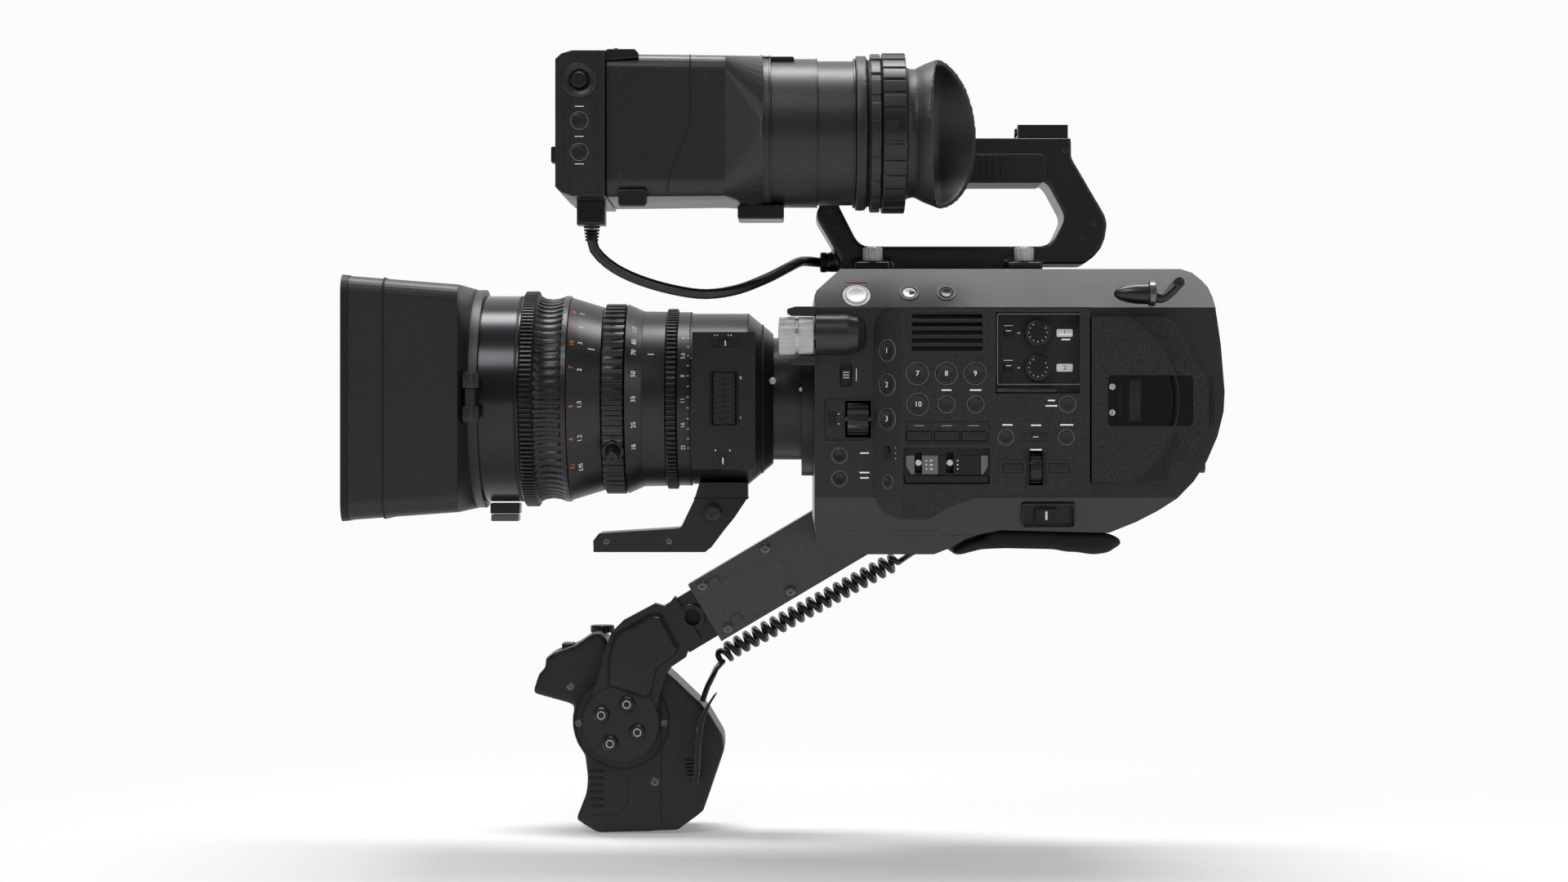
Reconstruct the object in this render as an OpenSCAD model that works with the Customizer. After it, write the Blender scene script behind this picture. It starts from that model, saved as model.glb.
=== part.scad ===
// Shoulder-mount digital cinema camera with a servo zoom lens, viewfinder and grip arm.
// The origin is the mouth of the tripod thread. -X is the lens end, -Y the operator's side, +Z up.

/* [Body] */
// Operator-side face of the body
body_left = -58; // [-64:1:-54]
// Far-side face of the body
body_right = 60; // [56:1:72]
// Height of the body's top
body_top = 140.8; // [136:0.1:150]
// Thickness of each side cover
cover_t = 8; // [8:0.5:9]
// Thickness of the base plate
base_t = 12; // [11:0.5:13]
// Radius of the tripod thread
tripod_r = 3.97; // [3:0.01:5]
// Depth of the tripod thread
tripod_depth = 10; // [8:0.5:10]

/* [Control panel] */
// How far the control panel stands out of the body
panel_t = 14; // [13:0.5:17]
// Radius of the round numbered buttons
key_r = 4.8; // [3.6:0.1:5.8]
// Radius of the audio dials
dial_r = 6.6; // [5:0.1:7.2]
// Radius of the select wheel
wheel_r = 8; // [6.5:0.1:9]
// Width of the select wheel
wheel_w = 5.9; // [4:0.1:7.2]
// Travel of the record button
rec_travel = 0.8; // [0.5:0.1:1.2]

/* [Lens] */
// Height of the lens axis over the base
lens_z = 77.2; // [76:0.1:80]
// Outer radius of the front ring
front_r = 52.1; // [50:0.1:53]
// Radius of the barrel's seat under the focus ring
focus_seat_r = 47.5; // [42:0.1:48.5]
// Radius of the barrel's seat under the zoom ring
zoom_seat_r = 42; // [38:0.1:43]
// Radius of the barrel's seat under the iris ring
iris_seat_r = 41; // [36:0.1:41.5]
// Radius of the rear barrel at the mount
mount_r = 30.9; // [28:0.1:34]
// Radius of the lens foot's thread
foot_thread_r = 2.55; // [2:0.05:3.1]

/* [Hood] */
// Height of the hood at its front
hood_h = 119; // [112:1:126]
// Width of the hood at its front
hood_w = 150; // [130:1:160]
// Wall of the hood
hood_wall = 2.5; // [2:0.1:3]

/* [Handle] */
// Width of the handle
handle_w = 34; // [28:1:41]
// Radius of the viewfinder rod
rod_r = 7.5; // [6:0.1:8.5]
// Height of the viewfinder rod
rod_z = 194; // [192:0.5:197]

/* [Viewfinder] */
// Sideways centre of the viewfinder
evf_y = -80; // [-84:1:-76]
// Height of the viewfinder's axis
evf_z = 203.6; // [200:0.1:206]
// Width of the screen unit
evf_w = 94; // [84:1:96]
// Outer radius of the loupe barrel
loupe_r = 35.6; // [33:0.1:36.4]

/* [Grip] */
// Width of the grip arm
arm_w = 34.8; // [32:0.1:38]
// Wall of the arm's channel
arm_wall = 3; // [2.5:0.1:4]
// Length of the arm from its pivot to its open end
arm_len = 115; // [105:1:116]
// Radius of the arm's pivot pin
pivot_r = 4; // [3:0.1:5]
// Radius of the grip's pivot pin
grip_pin_r = 5; // [4:0.1:6]
// Width of the hand grip
grip_w = 50; // [42:1:60]

/* [Fits] */
// Radial gap of a turning or sliding fit
fit = 0.08; // [0.04:0.01:0.1]
// Gap round a button or a loose part
gap = 0.3; // [0.2:0.05:0.4]

/* [Hidden] */
// Depth of a front button's stem plus its radius
stem_reach = 9.8;
// Places of the handle's thumb screws, and the thickness of the feet under them
screw_x = [-7.5, 68.2];
foot_t = 4.7;
// Radius of the grip's turning disc
disc_r = 26.5;
$fn = 96;

seam_left = body_left + cover_t;
seam_right = body_right - cover_t;
panel_y = body_left - panel_t;
chamfer_low_z = body_top - 19.8;
chamfer_in_y = body_left + 17;
chamfer_tilt = atan2(19.8, 17);
bevel_run = panel_t - 1;
arm_tilt = 30.7;
arm_pivot = [5, 23.4];
arm_y = body_right + 4;
chan_y = arm_y + 2;
chan_d = 20;
tongue_y0 = chan_y + arm_wall + 0.3;
tongue_y1 = chan_y + chan_d - arm_wall - 0.3;
tongue_h = arm_w / 2 - arm_wall - 0.3;
grip_pivot = [-138.3, -93.8];
plate_y = chan_y;
plate_t = 8;
grip_y = plate_y + plate_t + 0.4;
evf_hinge = [-147, evf_z];
evf_near = evf_y - evf_w / 2;
evf_far = evf_y + evf_w / 2;
handle_y = handle_w / 2;
screw_y = handle_y + 5.4;
dial_x = 71.1;
dial_z = [108.3, 91.4];
wheel_x = 70;
wheel_z = 42.6;
wheel_y = panel_y + 6;
knob_y = -60.2;

function arc(cx, cy, r, a0, a1, n = 8) =
    [for (i = [0:n]) [cx + r * cos(a0 + (a1 - a0) * i / n), cy + r * sin(a0 + (a1 - a0) * i / n)]];
function rounded(w, h, r) = concat(
    arc(w / 2 - r, h / 2 - r, r, 0, 90), arc(r - w / 2, h / 2 - r, r, 90, 180),
    arc(r - w / 2, r - h / 2, r, 180, 270), arc(w / 2 - r, r - h / 2, r, 270, 360));

// Extrudes an X-Z outline from y0 to y1.
module ybar(y0, y1) translate([0, y1, 0]) rotate([90, 0, 0]) linear_extrude(y1 - y0) children();
// Extrudes a Y-Z outline from x0 to x1.
module xbar(x0, x1) translate([x0, 0, 0]) rotate([90, 0, 90]) linear_extrude(x1 - x0) children();
// Extrudes an X-Y outline from z0 to z1.
module zbar(z0, z1) translate([0, 0, z0]) linear_extrude(z1 - z0) children();
module ycyl(x, z, r, y0, y1) translate([x, y1, z]) rotate([90, 0, 0]) cylinder(r = r, h = y1 - y0);
module xcyl(y, z, r, x0, x1) translate([x0, y, z]) rotate([0, 90, 0]) cylinder(r = r, h = x1 - x0);
module zcyl(x, y, r, z0, z1) translate([x, y, z0]) cylinder(r = r, h = z1 - z0);
module block(x0, x1, y0, y1, z0, z1) translate([x0, y0, z0]) cube([x1 - x0, y1 - y0, z1 - z0]);
// Turns a [radius, x] outline about an axis along X.
module xrev(pts, y = 0, z = 0) translate([0, y, z]) rotate([0, 90, 0]) rotate_extrude() polygon(pts);
// A block with rounded corners in the X-Z plane.
module yround(x0, x1, z0, z1, r, y0, y1)
    translate([(x0 + x1) / 2, 0, (z0 + z1) / 2]) ybar(y0, y1) polygon(rounded(x1 - x0, z1 - z0, r));

// Side outline of the body, with the shoulder recess under its rear.
module body_outline() polygon([
    [-37, 15.9], [-34.7, 3.1], [-32, 0], [22, 0], [30, 3.2], [37, 7.4], [43.9, 9.9], [54.6, 12],
    [107.7, 10.7], [120.7, 16.1], [131, 21.6], [140.1, 27.7], [148.3, 36.2], [154.6, 46], [159.8, 58],
    [162.8, 70.2], [163.3, 79.9], [161.4, 103], [158, 126.3], [156.4, 131.3], [153.6, 135],
    [149.5, 138.9], [144, body_top], [-24, body_top], [-36, body_top - 11.2], [-37, body_top - 14]]);
// Side outline of the space inside the body.
module body_space() polygon([
    [-33, 19], [-31, base_t + 3.5], [30, base_t + 3.5], [42, 17], [105, 15.5], [117, 20.5], [136, 32],
    [150.5, 49], [158.5, 72], [159, 80], [154, 124], [150, 131], [142, body_top - 3.5],
    [-22, body_top - 3.5], [-33, body_top - 15]]);
// End outline of the body, sloped at the top on both sides and drawn in at the bottom.
module body_section() polygon([
    [body_left + 12, -1], [body_left + 12, 0], [body_left, 28], [body_left, chamfer_low_z],
    [chamfer_in_y, body_top], [chamfer_in_y, body_top + 1], [body_right - 10, body_top + 1],
    [body_right - 10, body_top], [body_right, body_top - 10], [body_right, 20],
    [body_right - 10, 0], [body_right - 10, -1]]);
module body_solid() intersection() {
    ybar(body_left, body_right) body_outline();
    xbar(-40, 170) body_section();
}
module left_slice() xbar(-60, 190) polygon([
    [body_left - 1, -2], [seam_left, -2], [seam_left, chamfer_low_z - 3],
    [chamfer_in_y + 3, chamfer_low_z - 3], [chamfer_in_y + 3, body_top + 2],
    [body_left - 1, body_top + 2]]);
// Places a child on the sloping edge, with its +Z out of the slope.
module on_slope(x, along) translate([x, body_left + along * cos(chamfer_tilt),
    chamfer_low_z + along * sin(chamfer_tilt)]) rotate([chamfer_tilt, 0, 0]) children();
module base_block(g = 0) block(-50, 24 + g, body_left - 5, body_right + 5, -1, base_t + g);
module battery_space(g = 0) block(90 + g, 153 + (g == 0 ? 20 : 0), -4 + g, 42 - g, 46 + g, 120 - g);
module nd_bullet(g = 0) xrev([[0, -36.4 - g], [10 + g, -36.4 - g], [10 + g, -21], [8.8 + g, -16],
    [6 + g, -12.8 + g], [0, -11.6 + g]], body_left, 108);
module iris_slot() block(-22, -9.5, body_left - 1, body_left + 16, 57.5, 75.5);

module main_frame() color([0.15, 0.16, 0.17]) difference() {
    union() {
        difference() {
            body_solid();
            left_slice();
            block(-50, 190, seam_right, body_right + 1, -1, body_top + 1);
            ybar(body_left - 1, body_right + 1) body_space();
        }
        intersection() {
            body_solid();
            block(88, 163, -6, 44, 44, 122);
        }
        block(86, 90, 20, seam_right, 14, 50);
    }
    battery_space();
    base_block();
    xcyl(0, lens_z, mount_r + 0.6, -40, -30);
    nd_bullet(0.1);
    iris_slot();
    for (x = screw_x) for (y = [-screw_y, screw_y]) zcyl(x, y, 2 + fit, body_top - 4, body_top + 1);
}

module left_cover() color([0.15, 0.16, 0.17]) difference() {
    intersection() {
        body_solid();
        left_slice();
    }
    base_block();
    block(-4, 92, body_left + 3, seam_left + 1, 32, chamfer_low_z - 5);
    nd_bullet(0.1);
    xcyl(body_left, 108, 10.1, -38, -30);
    iris_slot();
    xcyl(body_left + 5, 66.6, 1.5 + fit, -25.5, -6);
    yround(-32.4, -9.2, 55.8, 77.3, 2, body_left - 1, body_left + 1.6);
    // slot of the filter preset switch
    yround(-24.6, -18.6, 82, 94.4, 1.5, body_left - 1, body_left + 3);
    // recess of the power switch
    yround(65, 89.7, 13.9, 24.7, 1, body_left - 1, body_left + 6);
    on_slope(-16.4, 7.8) translate([0, 0, -8]) cylinder(r = 5.5 + gap, h = 9);
    on_slope(-16.4, 7.8) translate([0, 0, -1.2]) cylinder(r = 7.3, h = 3);
}

module right_cover() color([0.15, 0.16, 0.17]) {
    difference() {
        intersection() {
            body_solid();
            block(-60, 190, seam_right, body_right, -1, body_top + 1);
        }
        base_block();
        block(30, 84, seam_right - 1, body_right - 3, 24, body_top - 24);
        for (i = [0:7]) block(40, 76, body_right - 4, body_right + 1, 96 - i * 8, 99 - i * 8);
        ycyl(arm_pivot[0], arm_pivot[1], pivot_r, seam_right - 1, body_right + 1);
    }
    // rosette, pivot pin and its head
    difference() {
        ycyl(arm_pivot[0], arm_pivot[1], 14, body_right, arm_y);
        block(-20, 30, body_right - 1, arm_y + 1, 0, base_t);
    }
    ycyl(arm_pivot[0], arm_pivot[1], pivot_r, seam_right, chan_y + chan_d + 1);
    // gland of the grip cable
    ycyl(40, 26, 5, body_right, body_right + 4);
    ycyl(arm_pivot[0], arm_pivot[1], pivot_r + 4, chan_y + chan_d, chan_y + chan_d + 3);
}

module base_plate() color([0.12, 0.12, 0.13]) difference() {
    intersection() {
        body_solid();
        block(-50, 24, body_left, body_right, -1, base_t);
    }
    translate([0, 0, -1]) cylinder(r = tripod_r, h = tripod_depth + 1);
    block(-16, -12.5, -20, 20, -1, 1);
    block(12.5, 16, -20, 20, -1, 1);
}

// Outline of the raised control panel, seen from the operator's side.
module panel_outline() polygon(concat(arc(4, 108.6, 12, 180, 90), [[96, 120.6], [96, 30.1],
    [55.2, 29.7], [47, 29.2], [39.4, 27.7], [31, 24.8], [25.1, 22.2], [21.5, 19.6], [18, 17.9]],
    arc(6, 31.9, 14, 270, 180)));
// Places a child on the panel's front bevel, with its +Z out of the bevel.
module on_bevel(z) translate([-8 + bevel_run * 0.5, body_left - 1 - bevel_run * 0.5, z])
    rotate([90, 0, -45]) children();
module key_spots() {
    for (x = [12.6, 26.6, 40.6]) translate([x, 0, 88.4]) children();
    translate([12.9, 0, 73.5]) children();
}

module control_panel() color([0.2, 0.2, 0.21]) difference() {
    intersection() {
        ybar(panel_y, body_left) panel_outline();
        zbar(0, 130) polygon([[-8, body_left], [-8, body_left - 1], [-8 + bevel_run, panel_y],
            [97, panel_y], [97, body_left]]);
    }
    zbar(56, 117) polygon([[-3, body_left + 1], [-3, body_left - 1], [8, panel_y + 3],
        [48, panel_y + 3], [48, body_left + 1]]);
    block(47, 93, panel_y + 8, body_left + 1, 54, 76);
    key_spots() ycyl(0, 0, key_r + 0.15, panel_y - 1, panel_y + 4);
    for (x = [26.7, 40.8]) ycyl(x, 73.5, 3.5, panel_y - 1, panel_y + 4);
    for (z = [99.7, 83.1, 66.5]) on_bevel(z) translate([0, 0, -9]) cylinder(r = key_r + 0.15, h = 12);
    // vent slots
    for (i = [0:4]) block(10, 44, panel_y - 1, panel_y + 4, 99.5 + i * 3.9, 101.5 + i * 3.9);
    // rectangular keys and the toggle recess
    block(6.6, 47.7, panel_y - 1, panel_y + 1, 54.2, 65.7);
    for (x = [7.4, 20.8, 33.9]) block(x, x + 12.2, panel_y, panel_y + 4, 55.9, 60.5);
    block(7.4, 46.1, panel_y + 2.9, body_left + 1, 55.9, 61);
    yround(5.8, 47.7, 34.9, 52.6, 1.2, panel_y - 1, panel_y + 3);
    for (x = [13.1, 28.3]) {
        block(x - 1.7, x + 1.7, panel_y + 2, body_left + 1, 40.3, 50.3);
        xcyl(panel_y + 7, 45.3, 1 + fit, x - 3.6, x + 3.6);
    }
    // audio recess, its dials, switches and hinge
    block(50.4, 91.1, panel_y - 1, panel_y + 7.5, 78.7, 118.2);
    for (z = dial_z) ycyl(dial_x, z, 2 + fit, panel_y, body_left - 1);
    xcyl(panel_y + 1.5, 80.3, 0.8 + fit, 47.5, 95);
    // select wheel
    block(wheel_x - wheel_w / 2 - gap, wheel_x + wheel_w / 2 + gap, panel_y - 1, body_left + 0.5,
        wheel_z - wheel_r - gap, wheel_z + wheel_r + gap);
    xcyl(wheel_y, wheel_z, 1.5 + fit, wheel_x - 8, wheel_x + 8);
}

// Rubber key mat behind the panel, with the fixed round and rectangular keys on it.
module key_mat() color([0.08, 0.08, 0.085]) {
    block(8.5, 46, panel_y + 5, panel_y + 8, 62, 112);
    key_spots() ycyl(0, 0, key_r, panel_y - 0.7, panel_y + 6);
    for (x = [26.7, 40.8]) ycyl(x, 73.5, 3.2, panel_y - 0.4, panel_y + 6);
    block(8.5, 46, panel_y + 5, panel_y + 8, 57, 62);
    for (x = [7.4, 20.8, 33.9]) block(x + 0.2, x + 12, panel_y + 0.2, panel_y + 6, 56.1, 60.3);
    for (z = [99.7, 83.1, 66.5]) on_bevel(z) translate([0, 0, key_r - stem_reach])
        cylinder(r = key_r, h = stem_reach + 0.7 - key_r);
    for (z = [99.7, 83.1, 66.5]) block(1.5, 9, panel_y + 9.5, panel_y + 12, z - 5, z + 5);
    block(8.5, 10, panel_y + 7, panel_y + 12, 61, 105);
}

module lens_mount() color([0.5, 0.5, 0.52]) difference() {
    xcyl(0, lens_z, 39, -43, -37);
    xcyl(0, lens_z, mount_r + fit, -44, -36);
}

module sensor_block() color([0.1, 0.11, 0.12]) {
    block(-33, -14, -27, 27, lens_z - 26, lens_z + 26);
    block(-14, -12, -20, 20, lens_z - 16, lens_z + 16);
}

module main_board() color([0.05, 0.2, 0.1]) {
    block(-10, 84, -20, -18, 17.3, body_top - 8);
    block(4, 30, -18, -15, 70, 96);
    block(40, 62, -18, -16, 60, 82);
}

module cooling_fan() color([0.12, 0.12, 0.12]) {
    difference() {
        block(20, 60, -30, -20, 84, 124);
        ycyl(40, 104, 18, -31, -21.5);
    }
    ycyl(40, 104, 7, -29, -21.5);
    for (a = [0:60:300]) translate([40, 0, 104]) rotate([0, a, 0]) block(6, 17, -28, -23, -0.8, 0.8);
}

module nd_housing() color([0.14, 0.15, 0.16]) difference() {
    nd_bullet();
    xcyl(body_left, 107.2, 3 + fit, -37, -22);
}

module nd_dial() color([0.66, 0.66, 0.66]) {
    xcyl(body_left, 107.2, 9.2, -54.7, -37.3);
    xcyl(body_left, 107.2, 3, -37.4, -23);
}

module nd_switch() color([0.1, 0.1, 0.1]) {
    block(-24.2, -19, body_left + 1.8, body_left + 2.9, 84, 92.4);
    block(-23.4, -19.8, body_left - 1.2, body_left + 2, 86, 90.4);
}

module iris_wheel() color([0.09, 0.09, 0.09]) {
    xcyl(body_left + 5, 66.6, 8, -21.2, -10.4);
    xcyl(body_left + 5, 66.6, 1.5, -25, -6.5);
}

module rec_button() color([0.75, 0.75, 0.75]) on_slope(-16.4, 7.8)
    translate([0, 0, -7]) cylinder(r = 5.5, h = 7.4);

module power_switch() color([0.55, 0.55, 0.56]) {
    block(71, 81.7, body_left + 2, body_left + 5.9, 15.9, 22.7);
}

// One toggle lever on its cross pin.
module toggle(x) color([0.7, 0.7, 0.7]) {
    ycyl(x, 45.3, 1.3, panel_y - 1.8, panel_y + 8);
    xcyl(panel_y + 7, 45.3, 1, x - 3.5, x + 3.5);
}
module gain_toggle() toggle(13.1);
module balance_toggle() toggle(28.3);

module audio_dial(z) color([0.06, 0.06, 0.06]) {
    ycyl(dial_x, z, dial_r, panel_y + 2.2, panel_y + 7.3);
    ycyl(dial_x, z, 2, panel_y + 7, body_left - 1.4);
}
module audio_dial_1() audio_dial(dial_z[0]);
module audio_dial_2() audio_dial(dial_z[1]);

module audio_cover() color([0.4, 0.42, 0.45, 0.5]) {
    difference() {
        block(50.7, 90.8, panel_y + 0.2, panel_y + 1.4, 80.3, 117.9);
        block(49, 92, panel_y, panel_y + 1.5, 80, 81.6);
    }
    xcyl(panel_y + 1.5, 80.3, 1.3, 50.7, 90.8);
    block(50.7, 90.8, panel_y + 0.4, panel_y + 1.4, 81, 82);
    xcyl(panel_y + 1.5, 80.3, 0.8, 48, 94);
}

module select_wheel() color([0.05, 0.05, 0.05]) {
    xcyl(wheel_y, wheel_z, wheel_r, wheel_x - wheel_w / 2, wheel_x + wheel_w / 2);
    xcyl(wheel_y, wheel_z, 1.5, wheel_x - 7.8, wheel_x + 7.8);
}

module media_door() color([0.19, 0.2, 0.21]) difference() {
    union() {
        ybar(body_left - 5, body_left) polygon([[97, 116.4], [132, 116.4], [136, 115.6], [139, 113],
            [154.4, 85.7], [155, 80], [154.6, 66], [153.6, 60.6], [142, 39], [139, 36.2], [135, 35.1],
            [97, 35.1]]);
        intersection() {
            ycyl(94.3, 75.6, 45, panel_y + 1, body_left - 4);
            block(97, 145, panel_y, body_left, 36, 116);
        }
    }
    // window recess
    yround(104.9, 147.2, 63, 87.7, 2, panel_y - 1, body_left - 3.5);
    block(100, 136, body_left - 3.4, body_left + 1, 40, 61);
    block(100, 134, body_left - 3.4, body_left + 1, 90, 112);
}

module strap_hooks() color([0.6, 0.6, 0.62]) {
    // bullet bosses, with a ring and a hook at the rear
    xcyl(body_left - 5.5, 127.5, 5.2, 110.5, 125.2);
    block(111, 125, body_left - 6, body_left, 124, 127.5 - 5.2 + 4);
    intersection() {
        block(111, 125, body_left - 6, body_left + 4, 123, 132);
        difference() {
            block(100, 140, body_left - 6, body_left + 9, 110, 135);
            body_solid();
        }
    }
    xcyl(body_left - 5.5, 127.5, 6.1, 125.2, 128.8);
    xcyl(body_left - 5.5, 129, 3, 128.8, 143.5);
}

// Outer side outline of the handle.
module handle_outline() polygon([[-23, body_top], [-23, body_top + 5.3], [-25.1, body_top + 8.7],
    [-35.2, 166.7], [-35.8, 170.4], [-34, 174], [-34, 202], [-32, 206], [-28, 208], [92.5, 208],
    [92.5, 198.2], [109.6, 168.9], [110.4, 164.9], [109.6, 158.2], [107.6, 153], [103.8, 148.4],
    [98.9, body_top + 4], [74, body_top + 4], [74, body_top]]);
module handle_opening() polygon([[-10.7, 153.7], [-14.2, 155.4], [-16.3, 158.3], [-24.3, 174],
    [-24, 180], [-21, 185.5], [-15, 188.9], [68.6, 188.9], [72.5, 188.7], [75.7, 188], [81, 184],
    [88.2, 170.7], [88.7, 168], [88, 165.3], [84.6, 158.2], [81.4, 155], [77.5, 153.7]]);
module handle_frame() color([0.1, 0.1, 0.105]) {
    difference() {
        ybar(-handle_y, handle_y) difference() {
            handle_outline();
            handle_opening();
        }
    }
    // feet that the thumb screws hold down
    difference() {
        for (x = screw_x) for (y = [-screw_y, screw_y])
            block(x - 9, x + 9, y - 5.4, y + 5.4, body_top, body_top + foot_t);
        for (x = screw_x) for (y = [-screw_y, screw_y])
            zcyl(x, y, 2 + fit, body_top - 1, body_top + foot_t + 1);
    }
    // boss that takes the viewfinder cable
    xcyl(0, 146.5, 5, -31, -22);
}

module handle_grip() color([0.06, 0.06, 0.06]) difference() {
    yround(-12, 80, 185.4, 200, 3, -handle_y - 1.6, handle_y + 1.6);
    block(-20, 90, -handle_y, handle_y, 188.9, 210);
    ybar(-handle_y, handle_y) difference() {
        handle_outline();
        handle_opening();
    }
}

module handle_screws() color([0.6, 0.6, 0.6]) for (x = screw_x) for (y = [-screw_y, screw_y]) {
    zcyl(x, y, 5, body_top + foot_t, body_top + foot_t + 7.2);
    zcyl(x, y, 2, body_top - 3, body_top + foot_t + 1);
}

module accessory_shoe() color([0.3, 0.3, 0.31]) difference() {
    block(65.9, 91.1, -12.5, 12.5, 208, 215.1);
    block(64, 89, -9.4, 9.4, 210, 212.6);
    block(64, 89, -6.3, 6.3, 210, 216);
}

module rod_clamp() color([0.1, 0.1, 0.105]) difference() {
    block(-64, -34, -13, 13, rod_z - 12, rod_z + 12);
    xcyl(0, rod_z, rod_r + fit, -70, -30);
}

module vf_rod() color([0.2, 0.2, 0.21]) {
    xcyl(0, rod_z, rod_r, -147, -34.2);
    difference() {
        block(-158, -136, evf_far + 4, 10, evf_z - 19, evf_z + 9);
        ycyl(evf_hinge[0], evf_hinge[1], 5 + fit, evf_far, evf_far + 20);
    }
}

module lens_barrel() color([0.07, 0.07, 0.07]) {
    xrev([[44, -184.7], [focus_seat_r, -184.7], [focus_seat_r, -159], [51.3, -159], [46.3, -142.6],
        [zoom_seat_r, -142.6], [zoom_seat_r, -130.5], [48, -130.5], [44.4, -122.5],
        [44.2, -111], [iris_seat_r, -111], [iris_seat_r, -104.8], [44, -104.8], [44, -98.8],
        [43.2, -98.8], [43.2, -69.7], [33, -57.3], [mount_r, -57.3], [mount_r, -36.5],
        [26, -36.5], [26, -57.3], [38, -72], [38, -150], [40, -160], [40, -180]], 0, lens_z);
    // housing of the servo and its switches, on the operator's side
    difference() {
        block(-97, -66, -54, -38, lens_z - 38, lens_z + 32);
        xcyl(0, lens_z, 42.5, -99, -64);
        block(-88.4, -74, -56, -46.5, lens_z - 13.5, lens_z + 12.5);
        zcyl(-81.2, -49.5, 1.2 + fit, 0, 160);
        block(-98, -65, -60, -30, 0, 42);
    }
}

module zoom_rocker() color([0.04, 0.04, 0.04]) difference() {
    union() {
        zbar(lens_z - 13.1, lens_z + 12.1) polygon([[-86.4, -48.6], [-86.4, -55.6], [-82.6, -54.4],
            [-79.8, -54.4], [-76, -55.6], [-76, -48.6]]);
        zcyl(-81.2, -49.5, 1.2, 43, lens_z + 29);
    }
}

module focus_ring() color([0.05, 0.05, 0.05]) xrev([[focus_seat_r + fit, -182.4], [54.6, -182.4],
    [54.6, -175.6], [52, -175.6], [50.8, -172.5], [50.4, -168.7], [50.8, -165], [52, -161.9],
    [52, -159.2], [focus_seat_r + fit, -159.2]], 0, lens_z);
module zoom_ring() color([0.05, 0.05, 0.05]) {
    xrev([[zoom_seat_r + fit, -142.4], [48.1, -142.4], [48.1, -130.7], [zoom_seat_r + fit, -130.7]],
        0, lens_z);
    // drive pin
    translate([-136.5, 0, lens_z]) rotate([-33, 0, 0]) translate([0, -45, 0]) rotate([90, 0, 0])
        cylinder(r = 2.2, h = 10);
}
module iris_ring() color([0.05, 0.05, 0.05]) xrev([[iris_seat_r + fit, -110.8], [45.7, -110.8],
    [45.7, -105], [iris_seat_r + fit, -105]], 0, lens_z);

module lens_front_ring() color([0.09, 0.09, 0.1]) xrev([[44, -204.2], [front_r, -204.2],
    [front_r, -184.7], [51.5, -184.7], [51.5, -182.7], [focus_seat_r + 0.3, -182.7],
    [focus_seat_r + 0.3, -184.7], [40, -184.7], [40, -190], [44, -190]], 0, lens_z);

module lens_glass() color([0.2, 0.25, 0.3]) {
    xrev([[0, -199], [20, -197.6], [34, -194.4], [43.9, -190], [0, -190]], 0, lens_z);
    xcyl(0, lens_z, 25.9, -60, -54);
    xcyl(0, lens_z, 37.9, -120, -108);
}

module lens_foot() color([0.13, 0.13, 0.14]) difference() {
    union() {
        ybar(-18, 18) polygon([[-94.3, 35], [-70.1, 35], [-70.1, 27.3], [-76.7, 17.4],
            [-81.6, 11.4], [-88.2, 2.6], [-91.5, 0], [-147.5, 0], [-147.7, 5.8], [-144.8, 9.4],
            [-105.8, 11.9], [-103.6, 12.5], [-97, 26.2]]);
        // lock screw
        ycyl(-87.6, 20, 4, -24, -17);
    }
    xcyl(0, lens_z, 43.25, -110, -60);
    translate([-125, 0, -1]) cylinder(r = foot_thread_r, h = 8);
}

// A thin rounded plate square to X, for the hood's shell.
module hood_plate(x, w, h, t = 0.5) translate([0, 0, lens_z - 0.5])
    xbar(x, x + t) polygon(rounded(w, h, 9));
module hood_shell() color([0.06, 0.06, 0.065]) {
    difference() {
        union() {
            hull() {
                hood_plate(-265.9, hood_w, hood_h);
                hood_plate(-211.5, 126, 111.5);
            }
            hull() {
                hood_plate(-211.5, 126, 111.5);
                xcyl(0, lens_z, 55.2, -206.6, -206.5, $fn = 48);
            }
        }
        hull() {
            hood_plate(-266.5, hood_w - 2 * hood_wall, hood_h - 2 * hood_wall);
            hood_plate(-214.5, 126 - 2 * hood_wall, 111.5 - 2 * hood_wall);
        }
        xcyl(0, lens_z, 46.5, -230, -200);
        xcyl(0, lens_z, 60, -207, -200);
        zcyl(-204.7, knob_y, 4.8, lens_z + 4, lens_z + 13);
        zcyl(-204.7, knob_y, 4.8, lens_z - 13, lens_z - 4);
    }
    difference() {
        xcyl(0, lens_z, 55.2, -207, -202.5);
        xcyl(0, lens_z, 46.5, -208, -200);
        xcyl(0, lens_z, front_r + 0.1, -204.3, -200);
    }
    // lugs of the clamp screw
    difference() {
        block(-207, -202.5, knob_y - 3, -48, lens_z - 4, lens_z + 4);
        xcyl(0, lens_z, 54, -208, -200);
        zcyl(-204.7, knob_y, 1.5 + fit, 0, 160);
    }
}
module hood_knob() color([0.3, 0.3, 0.31]) {
    zcyl(-204.7, knob_y, 1.5, lens_z - 7, lens_z + 6);
    zcyl(-204.7, knob_y, 4.4, lens_z + 4.4, lens_z + 12);
    zcyl(-204.7, knob_y, 4.4, lens_z - 12, lens_z - 4.4);
}

module shoulder_pad() color([0.07, 0.07, 0.07]) ybar(-33, 33) polygon([[30.6, 0.7], [33.1, -0.9],
    [35.6, -0.9], [46.3, 1.9], [57.9, 2.4], [82, 1.9], [89.4, 0.5], [93.6, 0.5], [101.8, -0.8],
    [109.2, 0.2], [115.9, 4.5], [115.1, 7.3], [111, 9.4], [107.6, 10.2], [54.6, 11.6], [50, 10.6],
    [46.8, 8.2], [39, 6]]);

module battery() color([0.1, 0.1, 0.1]) difference() {
    battery_space(0.3);
    block(150, 154, 12, 26, 60, 68);
}

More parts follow.
